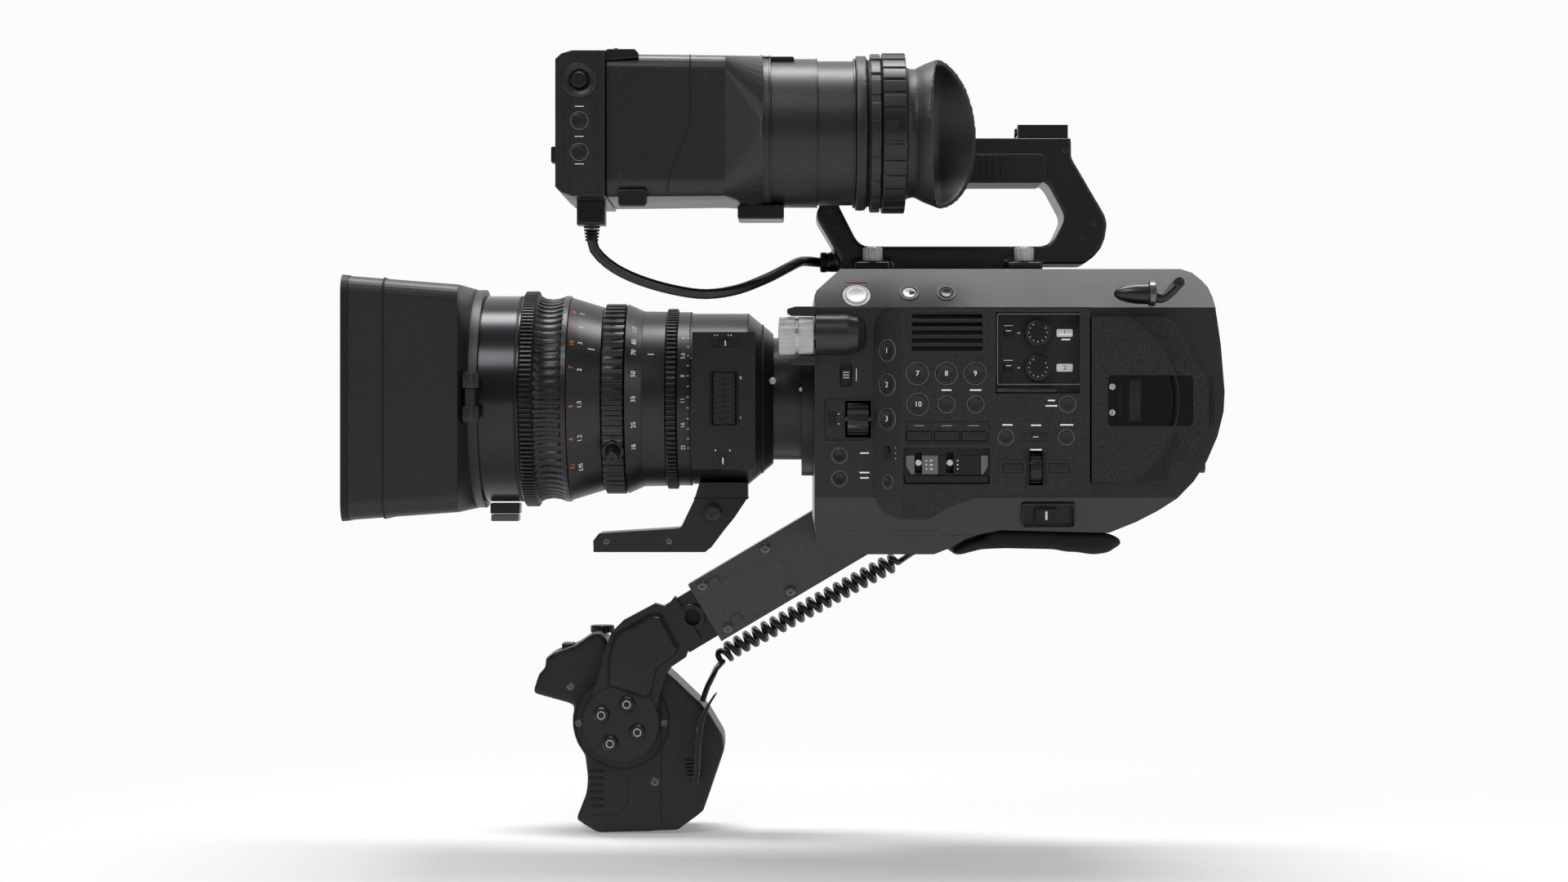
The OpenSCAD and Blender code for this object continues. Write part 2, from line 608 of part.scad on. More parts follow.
module evf_outline() polygon([[-158.3, 174], [-158.3, 233.5], [-155.5, 236], [-150.5, 237.5],
    [-135.3, 237.5], [-135.3, 169.8], [-150.5, 169.8], [-155.5, 171.5]]);
module evf_screen() color([0.08, 0.08, 0.085]) {
    difference() {
        ybar(evf_near, evf_far) evf_outline();
        block(-141, -135, evf_y - 41, evf_y + 41, evf_z - 26, evf_z + 26);
        ycyl(-147.1, 223.7, 4 + gap, evf_near - 1, evf_near + 4);
    }
    // hinge pin
    ycyl(evf_hinge[0], evf_hinge[1], 5, evf_far - 1, evf_far + 16);
    ycyl(evf_hinge[0], evf_hinge[1], 8, evf_far - 1, evf_far + 3.7);
    // cable plug below
    block(-149.7, -136.4, evf_y - 26, evf_y - 14, 158, 170);
}
module evf_panel() color([0.02, 0.02, 0.03])
    block(-141, -139, evf_y - 40.8, evf_y + 40.8, evf_z - 25.8, evf_z + 25.8);
module evf_joystick() color([0.05, 0.05, 0.05]) {
    ycyl(-147.1, 223.7, 3.9, evf_near - 1.5, evf_near + 3.6);
}

module loupe_housing() color([0.07, 0.07, 0.075]) {
    difference() {
        union() {
            hull() {
                translate([0, evf_y, evf_z]) xbar(-134.7, -134.2) polygon(rounded(88, 67, 8));
                translate([0, evf_y, evf_z]) xbar(-80, -79.5) polygon(rounded(86, 66, 8));
            }
            hull() {
                translate([0, evf_y, evf_z]) xbar(-80, -79.5) polygon(rounded(86, 66, 8));
                xcyl(evf_y, evf_z, 37, -62, -61, $fn = 48);
            }
            xcyl(evf_y, evf_z, 37, -61.5, -58.9);
        }
        translate([0, evf_y, evf_z]) xbar(-136, -82) polygon(rounded(82, 61, 6));
        xcyl(evf_y, evf_z, 31, -83, -50);
    }
    // top hinge barrel
    ycyl(-131, evf_z + 35.2, 2, evf_y - 30, evf_y + 30);
}
module loupe_barrel() color([0.06, 0.06, 0.06]) {
    difference() {
        xrev([[31 - fit, -66], [31 - fit, -58.7], [loupe_r, -58.7], [loupe_r, -36.2],
            [34.5, -36.2], [34.5, -18.1], [33, -18.1], [33, 4.7], [29.5, 4.7], [29.5, 8], [26, 8],
            [26, -66]], evf_y, evf_z);
    }
    xcyl(evf_y, evf_z, 25.9, -50, -42);
}
module eyecup() color([0.04, 0.04, 0.04]) difference() {
    xrev([[33 + fit, -17.8], [37, -17.8], [37, -12.8], [35, -12.8], [35, -5.1], [37.6, -5.1],
        [37.6, 2.7], [35, 6.2], [31.5, 6.2], [30.5, 10.3], [33, 15], [36, 22.8], [36, 43.2],
        [33.5, 43.2], [33.5, 24], [30.5, 16], [28.6, 10.3], [29.8, 8.3], [29.8, 5], [33 + fit, 5]],
        evf_y, evf_z);
    // slanted rim, cut low on the near side and left long on the far side
    zbar(evf_z - 40, evf_z + 40) polygon([[17, evf_y - 40], [22, evf_y], [43.3, evf_y + 36],
        [50, evf_y + 36], [50, evf_y - 40]]);
}

// Places a child in the arm's frame: its pivot at the origin, the arm along -X.
module on_arm() translate([arm_pivot[0], 0, arm_pivot[1]]) rotate([0, -arm_tilt, 0]) children();
module arm_channel() color([0.1, 0.1, 0.105]) on_arm() difference() {
    union() {
        block(-arm_len, 0, chan_y, chan_y + chan_d, -arm_w / 2, arm_w / 2);
        ycyl(0, 0, arm_w / 2, chan_y, chan_y + chan_d);
    }
    block(-arm_len - 1, -22, chan_y - 1, chan_y + chan_d - arm_wall,
        arm_wall - arm_w / 2, arm_w / 2 - arm_wall);
    ycyl(0, 0, pivot_r + fit, chan_y - 1, chan_y + chan_d + 1);
}
module arm_cover() color([0.29, 0.29, 0.28]) on_arm() {
    difference() {
        union() {
            block(-arm_len, 0, arm_y, chan_y, -arm_w / 2, arm_w / 2);
            ycyl(0, 0, arm_w / 2, arm_y, chan_y);
        }
        ycyl(0, 0, pivot_r + fit, arm_y - 1, chan_y + 1);
    }
    for (p = [[-102, 11.5], [-102, -11.5], [-26, 11.5], [-26, -11.5]])
        ycyl(p[0], p[1], 2.6, arm_y - 1, arm_y);
}

module bracket_outline() polygon([[-114.2, -32], [-120.2, -30.3], [-137.1, -39.3],
    [-143.6, -45.8], [-146.6, -54.5], [-151.4, -72.6], [-156.1, -86], [-156.8, -95.6],
    [-154.4, -103.3], [-148.3, -109.8], [-138.8, -113.3], [-130.6, -111.1], [-124.5, -105.1],
    [-121.1, -93], [-118.5, -81.3], [-115, -69.2], [-111.6, -64], [-103.8, -58.8],
    [-101.6, -51.9], [-95.7, -49.8], [-109.6, -26.3]]);
module grip_bracket() color([0.1, 0.1, 0.105]) difference() {
    union() {
        on_arm() block(-133, -60, tongue_y0, tongue_y1, -tongue_h, tongue_h);
        difference() {
            ybar(plate_y, plate_y + plate_t) bracket_outline();
            on_arm() block(-arm_len - 0.4, 20, 0, 200, -40, 40);
        }
        ybar(plate_y - 1.5, plate_y + 1) polygon([[-121.9, -36.7], [-137, -44], [-140.9, -49.2],
            [-143.5, -60.4], [-145.2, -71.7], [-143.1, -75.6], [-127.1, -79.5], [-121.9, -77.7],
            [-119.3, -67.4], [-115.9, -62.2], [-108.1, -56.1], [-108.1, -53.5], [-115.9, -40.1]]);
        ycyl(grip_pivot[0], grip_pivot[1], 20, plate_y - 1.5, plate_y + 1);
        // grip pivot pin
        ycyl(grip_pivot[0], grip_pivot[1], grip_pin_r, plate_y, grip_y + 14);
    }
    ycyl(-100.7, -37.9, 3.9, plate_y - 5, plate_y + 40);
}

module grip_outline() polygon([[-163.4, -83.5], [-157.4, -116.7], [-156.7, -124.4],
    [-157.4, -132.1], [-162.2, -144.3], [-162.6, -146.1], [-153.5, -152], [-150, -153.3],
    [-108.7, -152], [-94.9, -141.7], [-91, -130.4], [-83.7, -109], [-84.2, -102], [-92.3, -88.3],
    [-98.3, -82.2], [-113.9, -67.5], [-122, -64], [-145, -62]]);
module shelf_outline() polygon([[-186.1, -78.7], [-182.8, -68.5], [-179.3, -65], [-179.3, -60.2],
    [-175.5, -57.4], [-163.1, -52.9], [-154.4, -46.9], [-150, -46], [-146.2, -49.9],
    [-143, -64], [-160, -86]]);
module grip_body() color([0.09, 0.09, 0.095]) difference() {
    union() {
        ybar(grip_y, grip_y + grip_w - 8) grip_outline();
        ycyl(grip_pivot[0], grip_pivot[1], disc_r, grip_y, grip_y + 8);
        ybar(grip_y + 1, grip_y + 34) shelf_outline();
        ybar(grip_y + grip_w - 8.5, grip_y + grip_w) polygon([[-158, -88], [-152, -118],
            [-152, -134], [-155, -145], [-150, -148], [-110, -147], [-99, -138], [-90, -109],
            [-98, -90], [-116, -73], [-140, -68]]);
    }
    ycyl(grip_pivot[0], grip_pivot[1], grip_pin_r + fit, grip_y - 1, grip_y + 14.4);
    block(-172.8, -163.2, grip_y + 8, grip_y + 26, -69.5, -50);
    ycyl(-168, -66, 1.2 + fit, grip_y + 5, grip_y + 29);
}
module grip_rocker() color([0.04, 0.04, 0.04]) {
    ycyl(-168, -66, 1.2, grip_y + 5.3, grip_y + 28.7);
    block(-171, -165, grip_y + 9, grip_y + 25, -67, -53);
}
module grip_strap() color([0.07, 0.07, 0.07]) {
    ybar(grip_y - 11, grip_y - 1) polygon([[-86.8, -77], [-90.6, -83.2], [-94, -91.5], [-96, -105],
        [-96.5, -118], [-97.4, -126], [-100.4, -126], [-99.5, -118], [-99, -105], [-97, -92.5],
        [-93.2, -85], [-89.2, -79]]);
    for (z = [-98, -121]) ycyl(-97.7, z, 1.2, grip_y - 6, grip_y);
}

// A round cord through a list of points.
module cord(pts, r, fn = 8) for (i = [0:len(pts) - 2]) hull() {
    translate(pts[i]) sphere(r = r, $fn = fn);
    translate(pts[i + 1]) sphere(r = r, $fn = fn);
}
module evf_cable() color([0.05, 0.05, 0.05]) cord([[-143, -100, 155.2], [-142, -99, 147],
    [-134, -97, 139], [-122, -92, 133], [-106, -85, 128.5], [-90, -79, 126.5], [-75, -70, 129],
    [-61, -56, 135], [-51, -40, 141], [-45, -24, 145], [-41, -10, 146.5], [-33.9, 0, 146.5]], 2.5);
module grip_cable() color([0.05, 0.05, 0.05]) {
    cord([[40, 65.6, 26], [39, 71, 21], [33, 81, 9], [22, 90, -2], [9.7, 93, -8]], 1.6);
    cord([[9.7, 93, -8], [-30, 93, -29.5], [-62, 93, -46.8], [-80, 93, -56.5], [-86, 90, -62]], 5.6, 10);
    cord([[-86, 90, -62], [-90, grip_y + 7, -70], [-93, grip_y + 4.4, -76], [-94, grip_y + 2, -82]], 1.6);
}

main_frame();
left_cover();
right_cover();
base_plate();
control_panel();
key_mat();
lens_mount();
sensor_block();
main_board();
cooling_fan();
nd_housing();
handle_frame();
handle_grip();
handle_screws();
accessory_shoe();
rod_clamp();
lens_barrel();
lens_front_ring();
lens_glass();
lens_foot();
hood_shell();
strap_hooks();
evf_cable();
grip_cable();
focus_ring();
zoom_ring();
iris_ring();
zoom_rocker();
hood_knob();
nd_dial();
nd_switch();
iris_wheel();
rec_button();
gain_toggle();
balance_toggle();
audio_dial_1();
audio_dial_2();
audio_cover();
media_door();
power_switch();
select_wheel();
shoulder_pad();
battery();
vf_rod();
evf_screen();
evf_panel();
evf_joystick();
loupe_housing();
loupe_barrel();
eyecup();
arm_channel();
arm_cover();
grip_bracket();
grip_body();
grip_strap();
grip_rocker();
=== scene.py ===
"""Digital cinema camera rig: materials, fine detail, cables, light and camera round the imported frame."""
import bpy
import bmesh
import math
from mathutils import Matrix, Vector


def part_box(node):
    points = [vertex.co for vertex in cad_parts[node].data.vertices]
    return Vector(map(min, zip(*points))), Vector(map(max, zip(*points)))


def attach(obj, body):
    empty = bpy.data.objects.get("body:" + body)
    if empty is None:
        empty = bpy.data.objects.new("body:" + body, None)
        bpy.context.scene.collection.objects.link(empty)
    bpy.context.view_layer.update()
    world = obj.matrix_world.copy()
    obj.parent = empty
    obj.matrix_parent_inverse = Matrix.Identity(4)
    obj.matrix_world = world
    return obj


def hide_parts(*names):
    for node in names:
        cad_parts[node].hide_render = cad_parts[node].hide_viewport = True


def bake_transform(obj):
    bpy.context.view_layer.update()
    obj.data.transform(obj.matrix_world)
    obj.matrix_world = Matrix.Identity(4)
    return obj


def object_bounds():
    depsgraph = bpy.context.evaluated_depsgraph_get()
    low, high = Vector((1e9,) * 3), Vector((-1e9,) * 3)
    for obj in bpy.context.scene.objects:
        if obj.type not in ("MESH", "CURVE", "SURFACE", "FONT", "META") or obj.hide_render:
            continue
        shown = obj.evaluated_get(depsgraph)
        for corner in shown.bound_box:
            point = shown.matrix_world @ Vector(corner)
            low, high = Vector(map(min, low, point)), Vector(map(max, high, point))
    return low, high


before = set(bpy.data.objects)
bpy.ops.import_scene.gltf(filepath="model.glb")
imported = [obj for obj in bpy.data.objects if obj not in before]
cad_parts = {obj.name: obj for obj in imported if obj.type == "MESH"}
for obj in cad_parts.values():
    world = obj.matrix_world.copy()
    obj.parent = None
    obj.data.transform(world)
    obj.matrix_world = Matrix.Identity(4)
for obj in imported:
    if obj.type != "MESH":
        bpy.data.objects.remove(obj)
cad_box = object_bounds()
MM = 0.001


def box_mm(node):
    """A node's lowest and highest corners in millimetres."""
    lo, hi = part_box(node)
    return Vector(lo) * 1000, Vector(hi) * 1000


LENS_Z = sum(v.z for v in box_mm("focus_ring")) / 2
PANEL_Y = box_mm("control_panel")[0].y
BODY_Y = box_mm("control_panel")[1].y
BODY_TOP = box_mm("main_frame")[1].z
EVF_Y = sum(v.y for v in box_mm("eyecup")) / 2
EVF_Z = sum(v.z for v in box_mm("eyecup")) / 2
EVF_NEAR = box_mm("evf_screen")[0].y
GRIP_Y = box_mm("grip_body")[0].y
ARM_Y = box_mm("arm_cover")[0].y
HANDLE_Y = box_mm("handle_grip")[1].y - 1.6
KNOB = (box_mm("hood_knob")[0] + box_mm("hood_knob")[1]) / 2


# ---------------------------------------------------------------- materials

def nodes_of(name):
    """A new node material, its node tree and its principled shader."""
    mat = bpy.data.materials.new(name)
    mat.use_nodes = True
    tree = mat.node_tree
    return mat, tree, tree.nodes["Principled BSDF"]


def surface(name, color, rough=0.5, metal=0.0, grain=900.0, bump=0.15, speckle=0.15, edge=0.0,
            rounding=0.35, spec=0.5):
    """A moulded, cast or painted surface: fine grain, soft patches, rounded and slightly worn edges."""
    mat, tree, bsdf = nodes_of(name)
    new = tree.nodes.new
    link = tree.links.new
    bsdf.inputs["Metallic"].default_value = metal
    bsdf.inputs["Specular IOR Level"].default_value = spec
    coord = new("ShaderNodeTexCoord")
    fine = new("ShaderNodeTexNoise")
    fine.inputs["Scale"].default_value = grain
    fine.inputs["Detail"].default_value = 3
    link(coord.outputs["Object"], fine.inputs["Vector"])
    wide = new("ShaderNodeTexNoise")
    wide.inputs["Scale"].default_value = 18
    wide.inputs["Detail"].default_value = 2
    link(coord.outputs["Object"], wide.inputs["Vector"])
    ramp = new("ShaderNodeValToRGB")
    dark = [c * (1 - speckle) for c in color]
    light = [min(1, c * (1 + speckle)) for c in color]
    ramp.color_ramp.elements[0].position = 0.38
    ramp.color_ramp.elements[0].color = (*dark, 1)
    ramp.color_ramp.elements[1].position = 0.62
    ramp.color_ramp.elements[1].color = (*light, 1)
    link(fine.outputs["Fac"], ramp.inputs["Fac"])
    last = ramp.outputs["Color"]
    round_ = new("ShaderNodeBevel")
    round_.samples = 4
    round_.inputs["Radius"].default_value = rounding * MM
    if edge:
        geo = new("ShaderNodeNewGeometry")
        dot = new("ShaderNodeVectorMath")
        dot.operation = "DOT_PRODUCT"
        link(round_.outputs["Normal"], dot.inputs[0])
        link(geo.outputs["Normal"], dot.inputs[1])
        worn = new("ShaderNodeMapRange")
        worn.inputs["From Min"].default_value = 0.98
        worn.inputs["From Max"].default_value = 0.75
        worn.inputs["To Max"].default_value = edge
        link(dot.outputs["Value"], worn.inputs["Value"])
        mix = new("ShaderNodeMix")
        mix.data_type = "RGBA"
        link(worn.outputs["Result"], mix.inputs["Factor"])
        link(last, mix.inputs[6])
        mix.inputs[7].default_value = (*[min(1, c * 1.8 + 0.05) for c in color], 1)
        last = mix.outputs[2]
    link(last, bsdf.inputs["Base Color"])
    gloss = new("ShaderNodeMapRange")
    gloss.inputs["To Min"].default_value = max(0.05, rough - 0.07)
    gloss.inputs["To Max"].default_value = rough + 0.07
    link(wide.outputs["Fac"], gloss.inputs["Value"])
    link(gloss.outputs["Result"], bsdf.inputs["Roughness"])
    raised = new("ShaderNodeBump")
    raised.inputs["Strength"].default_value = bump
    raised.inputs["Distance"].default_value = 0.1 * MM
    link(fine.outputs["Fac"], raised.inputs["Height"])
    link(round_.outputs["Normal"], raised.inputs["Normal"])
    link(raised.outputs["Normal"], bsdf.inputs["Normal"])
    return mat


def glass(name, color, alpha, rough=0.03, tint=(0.3, 0.2, 0.6), coat=0.4):
    """Clear or smoked window with a faint coating that shows at a slant."""
    mat, tree, bsdf = nodes_of(name)
    bsdf.inputs["Roughness"].default_value = rough
    bsdf.inputs["Alpha"].default_value = alpha
    bsdf.inputs["Coat Weight"].default_value = coat
    layer = tree.nodes.new("ShaderNodeLayerWeight")
    layer.inputs["Blend"].default_value = 0.3
    ramp = tree.nodes.new("ShaderNodeValToRGB")
    ramp.color_ramp.elements[0].color = (*color, 1)
    ramp.color_ramp.elements[1].color = (*tint, 1)
    tree.links.new(layer.outputs["Facing"], ramp.inputs["Fac"])
    tree.links.new(ramp.outputs["Color"], bsdf.inputs["Base Color"])
    return mat


def woven(name, color, pitch):
    """Webbing with a tight basket weave."""
    mat, tree, bsdf = nodes_of(name)
    new = tree.nodes.new
    link = tree.links.new
    bsdf.inputs["Sheen Weight"].default_value = 0.4
    bsdf.inputs["Roughness"].default_value = 0.85
    coord = new("ShaderNodeTexCoord")
    heights = []
    for direction in ("Y", "Z"):
        wave = new("ShaderNodeTexWave")
        wave.bands_direction = direction
        wave.inputs["Scale"].default_value = 1000 / pitch / 6.28
        wave.inputs["Distortion"].default_value = 0.4
        link(coord.outputs["Object"], wave.inputs["Vector"])
        heights.append(wave.outputs["Fac"])
    both = new("ShaderNodeMath")
    both.operation = "MULTIPLY"
    link(heights[0], both.inputs[0])
    link(heights[1], both.inputs[1])
    ramp = new("ShaderNodeValToRGB")
    ramp.color_ramp.elements[0].color = (*[c * 0.5 for c in color], 1)
    ramp.color_ramp.elements[1].color = (*[c * 1.7 for c in color], 1)
    link(both.outputs["Value"], ramp.inputs["Fac"])
    link(ramp.outputs["Color"], bsdf.inputs["Base Color"])
    bump = new("ShaderNodeBump")
    bump.inputs["Strength"].default_value = 0.6
    bump.inputs["Distance"].default_value = 0.3 * MM
    link(both.outputs["Value"], bump.inputs["Height"])
    link(bump.outputs["Normal"], bsdf.inputs["Normal"])
    return mat


BODY = surface("body_paint", (0.0135, 0.0145, 0.0165), 0.31, grain=1500, bump=0.2, speckle=0.25, edge=0.25,
               spec=0.6)
PANEL = surface("panel_paint", (0.017, 0.018, 0.0195), 0.42, grain=1300, bump=0.4, speckle=0.4, edge=0.35,
                spec=0.45)
DOOR = surface("door_paint", (0.015, 0.0155, 0.0165), 0.45, grain=900, bump=0.6, speckle=0.5, edge=0.3,
               spec=0.45)
LENS = surface("lens_paint", (0.009, 0.0092, 0.0098), 0.36, grain=1400, bump=0.5, speckle=0.4, edge=0.25)
SATIN = surface("lens_satin", (0.03, 0.031, 0.033), 0.22, metal=0.8, grain=2600, bump=0.04, speckle=0.08)
HOOD = surface("hood_matte", (0.011, 0.0115, 0.012), 0.42, grain=1800, bump=0.3, speckle=0.3, edge=0.25)
RUBBER = surface("rubber", (0.006, 0.006, 0.0065), 0.5, grain=1700, bump=0.2, speckle=0.2, spec=0.35)
SOFT = surface("eyecup_rubber", (0.012, 0.012, 0.013), 0.45, grain=1500, bump=0.12, speckle=0.2)
BLACK = surface("black_plastic", (0.007, 0.007, 0.0075), 0.33, grain=1500, bump=0.2, speckle=0.25, edge=0.3)
EVF = surface("viewfinder_plastic", (0.012, 0.0125, 0.0135), 0.38, grain=1500, bump=0.35, speckle=0.35,
              edge=0.3, rounding=0.8)
KEY = surface("key_rubber", (0.012, 0.012, 0.013), 0.4, grain=1600, bump=0.1, speckle=0.12)
# light grey painted on key collars, low button rings and the lid edge as a painted highlight
HIGHLIGHT_GREY = surface("painted_highlight_grey", (0.17, 0.17, 0.175), 0.35, grain=1600, bump=0.05, speckle=0.1)
# near-black for seams, dark print and the sensor block, and painted shade where it fills slots, grooves and a
# hole
DEEP_BLACK_AND_SHADE = surface("deep_black_and_painted_shade", (0.003, 0.003, 0.0035), 0.6, grain=1000, bump=0.1)
SILVER = surface("silver", (0.6, 0.6, 0.6), 0.42, metal=0.5, grain=2200, bump=0.08, speckle=0.06)
BRIGHT = surface("bright_button", (0.75, 0.75, 0.75), 0.4, metal=0.3, grain=1500, bump=0.03, speckle=0.03)
STEEL = surface("steel", (0.16, 0.16, 0.165), 0.35, metal=1.0, grain=2000, bump=0.08, speckle=0.1)
LIGHT = surface("toggle_plate", (0.2, 0.2, 0.205), 0.35, metal=0.6, grain=1800, bump=0.1, speckle=0.08)
PLATE = surface("arm_plate", (0.085, 0.083, 0.078), 0.4, grain=1600, bump=0.2, speckle=0.2, edge=0.3)
ARM = surface("arm_metal", (0.012, 0.012, 0.013), 0.38, grain=1500, bump=0.3, speckle=0.3, edge=0.35)
GRIP = surface("grip_plastic", (0.011, 0.011, 0.012), 0.45, grain=1500, bump=0.45, speckle=0.35)
CABLE = surface("cable_jacket", (0.006, 0.006, 0.0065), 0.3, grain=900, bump=0.06, speckle=0.1)
WHITE = surface("white_print", (0.93, 0.93, 0.93), 0.6, grain=3000, bump=0.0, speckle=0.03, rounding=0.02)
GREY = surface("grey_print", (0.4, 0.4, 0.4), 0.6, grain=3000, bump=0.0, speckle=0.03, rounding=0.02)
ORANGE = surface("orange_print", (0.75, 0.22, 0.03), 0.6, grain=3000, bump=0.0, speckle=0.03,
                 rounding=0.02)
RED = surface("red_print", (0.6, 0.05, 0.04), 0.6, grain=3000, bump=0.0, speckle=0.03, rounding=0.02)
BOARD = surface("circuit_board", (0.01, 0.09, 0.04), 0.4, grain=300, bump=0.4, speckle=0.4)
WEB = woven("webbing", (0.022, 0.022, 0.023), 1.6)
SMOKED = glass("smoked_window", (0.002, 0.002, 0.003), 0.95, 0.06, (0.006, 0.006, 0.012))
CLEAR = glass("clear_cover", (0.02, 0.02, 0.022), 0.05, 0.1, (0.03, 0.03, 0.035), 0.0)
OPTIC = glass("coated_glass", (0.01, 0.012, 0.02), 0.85, 0.02, (0.12, 0.05, 0.2))

CAD_LOOK = {
    BODY: "main_frame left_cover right_cover base_plate nd_housing",
    PANEL: "control_panel", DOOR: "media_door",
    LENS: "lens_barrel lens_foot lens_mount", SATIN: "lens_front_ring", HOOD: "hood_shell",
    RUBBER: "handle_grip shoulder_pad", SOFT: "eyecup", KEY: "key_mat",
    BLACK: "battery cooling_fan handle_frame rod_clamp evf_joystick zoom_rocker grip_rocker "
           "nd_switch audio_dial_1 audio_dial_2 iris_wheel select_wheel iris_ring zoom_ring "
           "focus_ring grip_body power_switch accessory_shoe",
    EVF: "evf_screen loupe_housing loupe_barrel", STEEL: "strap_hooks",
    SILVER: "handle_screws nd_dial gain_toggle balance_toggle", BRIGHT: "rec_button",
    PLATE: "arm_cover", ARM: "arm_channel grip_bracket hood_knob vf_rod",
    DEEP_BLACK_AND_SHADE: "sensor_block", BOARD: "main_board", OPTIC: "lens_glass", CLEAR: "audio_cover",
    SMOKED: "evf_panel", CABLE: "evf_cable grip_cable", WEB: "grip_strap"}
for look, names in CAD_LOOK.items():
    for name in names.split():
        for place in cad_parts[name].material_slots:
            place.link = "OBJECT"
            place.material = look


# ---------------------------------------------------------------- mesh helpers

def put(name, mesh, mat, body, bevel=0.0):
    """Links a mesh given in millimetres as a piece that rides on a body."""
    mesh.transform(Matrix.Scale(MM, 4))
    work = bmesh.new()
    work.from_mesh(mesh)
    bmesh.ops.recalc_face_normals(work, faces=work.faces)
    work.to_mesh(mesh)
    work.free()
    for face in mesh.polygons:
        face.use_smooth = True
    mesh.set_sharp_from_angle(angle=math.radians(35))
    mesh.materials.append(mat)
    obj = bpy.data.objects.new(name, mesh)
    bpy.context.scene.collection.objects.link(obj)
    if bevel:
        mod = obj.modifiers.new("bevel", "BEVEL")
        mod.width = bevel * MM
        mod.segments = 2
        mod.limit_method = "ANGLE"
        mod.angle_limit = math.radians(40)
        mod.harden_normals = True
    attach(obj, body)
    return obj


def mesh_of(name, verts, faces):
    """A mesh from vertices and faces."""
    mesh = bpy.data.meshes.new(name)
    mesh.from_pydata([tuple(v) for v in verts], [], faces)
    return mesh


def turn(axis, a, r, t):
    """A point at distance r and angle t round an axis, a along it."""
    if axis == "X":
        return a, r * math.cos(t), r * math.sin(t)
    if axis == "Y":
        return r * math.cos(t), a, r * math.sin(t)
    return r * math.cos(t), r * math.sin(t), a


def lathe(name, prof, mat, body, at=(0, 0, 0), axis="X", segs=96, wave=None, ring=False, matrix=None):
    """Turns a profile of (radius, along) pairs; wave(i, t) adds to the radius."""
    verts = []
    for i, (r, a) in enumerate(prof):
        for k in range(segs):
            t = 2 * math.pi * k / segs
            verts.append(turn(axis, a, max(r + (wave(i, t) if wave else 0), 0.001), t))
    n = len(prof)
    faces = []
    for i in range(n if ring else n - 1):
        j = (i + 1) % n
        for k in range(segs):
            m = (k + 1) % segs
            faces.append((i * segs + k, i * segs + m, j * segs + m, j * segs + k))
    if not ring:
        faces.append(tuple(range(segs)))
        faces.append(tuple(range((n - 1) * segs, n * segs)))
    mesh = mesh_of(name, verts, faces)
    if matrix:
        mesh.transform(matrix)
    mesh.transform(Matrix.Translation(at))
    return put(name, mesh, mat, body)


def outline(pts, axis, lo, hi):
    """Vertices and faces of a prism with the given outline."""
    order = {"X": lambda u, v, w: (w, u, v), "Y": lambda u, v, w: (u, w, v), "Z": lambda u, v, w: (u, v, w)}
    place = order[axis]
    verts = [place(u, v, lo) for u, v in pts] + [place(u, v, hi) for u, v in pts]
    n = len(pts)
    faces = [tuple(range(n)), tuple(range(n, 2 * n))]
    faces += [(i, (i + 1) % n, n + (i + 1) % n, n + i) for i in range(n)]
    return verts, faces


def prism(name, pts, mat, body, lo, hi, axis="Y", bevel=0.25, matrix=None):
    """A prism with softened edges."""
    mesh = mesh_of(name, *outline(pts, axis, lo, hi))
    if matrix:
        mesh.transform(matrix)
    return put(name, mesh, mat, body, bevel=bevel)


def rrect(u0, u1, v0, v1, r, n=5):
    """Corner-rounded rectangle."""
    pts = []
    for cu, cv, start in ((u1 - r, v1 - r, 0), (u0 + r, v1 - r, 90), (u0 + r, v0 + r, 180),
                          (u1 - r, v0 + r, 270)):
        for k in range(n + 1):
            a = math.radians(start + 90 * k / n)
            pts.append((cu + r * math.cos(a), cv + r * math.sin(a)))
    return pts


def frame_bar(name, outer, inner, mat, body, lo, hi, bevel=0.15):
    """A flat rim between two outlines of equal count."""
    a = outline(outer, "Y", lo, hi)[0]
    b = outline(inner, "Y", lo, hi)[0]
    n = len(outer)
    faces = []
    for i in range(n):
        j = (i + 1) % n
        faces += [(i, j, 2 * n + j, 2 * n + i), (n + i, n + j, 3 * n + j, 3 * n + i),
                  (i, j, n + j, n + i), (2 * n + i, 2 * n + j, 3 * n + j, 3 * n + i)]
    return put(name, mesh_of(name, a + b, faces), mat, body, bevel=bevel)


def text_mesh(text, size):
    """Flat raised figures, centred, in millimetres."""
    curve = bpy.data.curves.new("figures", "FONT")
    curve.body = text
    curve.size = size
    curve.extrude = 0.03
    curve.align_x = "CENTER"
    curve.align_y = "CENTER"
    curve.resolution_u = 3
    obj = bpy.data.objects.new("figures", curve)
    mesh = bpy.data.meshes.new_from_object(obj)
    bpy.data.objects.remove(obj)
    bpy.data.curves.remove(curve)
    return mesh


class Prints:
    """Gathers figures, dots and lines of one colour on one body into one piece."""

    def __init__(self, name, mat, body):
        self.name, self.mat, self.body = name, mat, body
        self.work = bmesh.new()

    def add(self, mesh, matrix):
        mesh.transform(matrix)
        self.work.from_mesh(mesh)
        bpy.data.meshes.remove(mesh)

    def figure(self, text, size, matrix):
        self.add(text_mesh(text, size), matrix)

    def bar(self, w, h, matrix):
        verts, faces = outline([(-w / 2, -h / 2), (w / 2, -h / 2), (w / 2, h / 2), (-w / 2, h / 2)],
                               "Z", -0.03, 0.03)
        self.add(mesh_of("bar", verts, faces), matrix)

    def dot(self, r, matrix):
        pts = [(r * math.cos(a * math.pi / 10), r * math.sin(a * math.pi / 10)) for a in range(20)]
        self.add(mesh_of("dot", *outline(pts, "Z", -0.03, 0.03)), matrix)

    def done(self):
        mesh = bpy.data.meshes.new(self.name)
        self.work.to_mesh(mesh)
        self.work.free()
        return put(self.name, mesh, self.mat, self.body)


def facing(x, y, z):
    """A matrix that lays XY artwork on a surface facing -Y."""
    return Matrix.Translation((x, y, z)) @ Matrix.Rotation(math.radians(90), 4, "X")


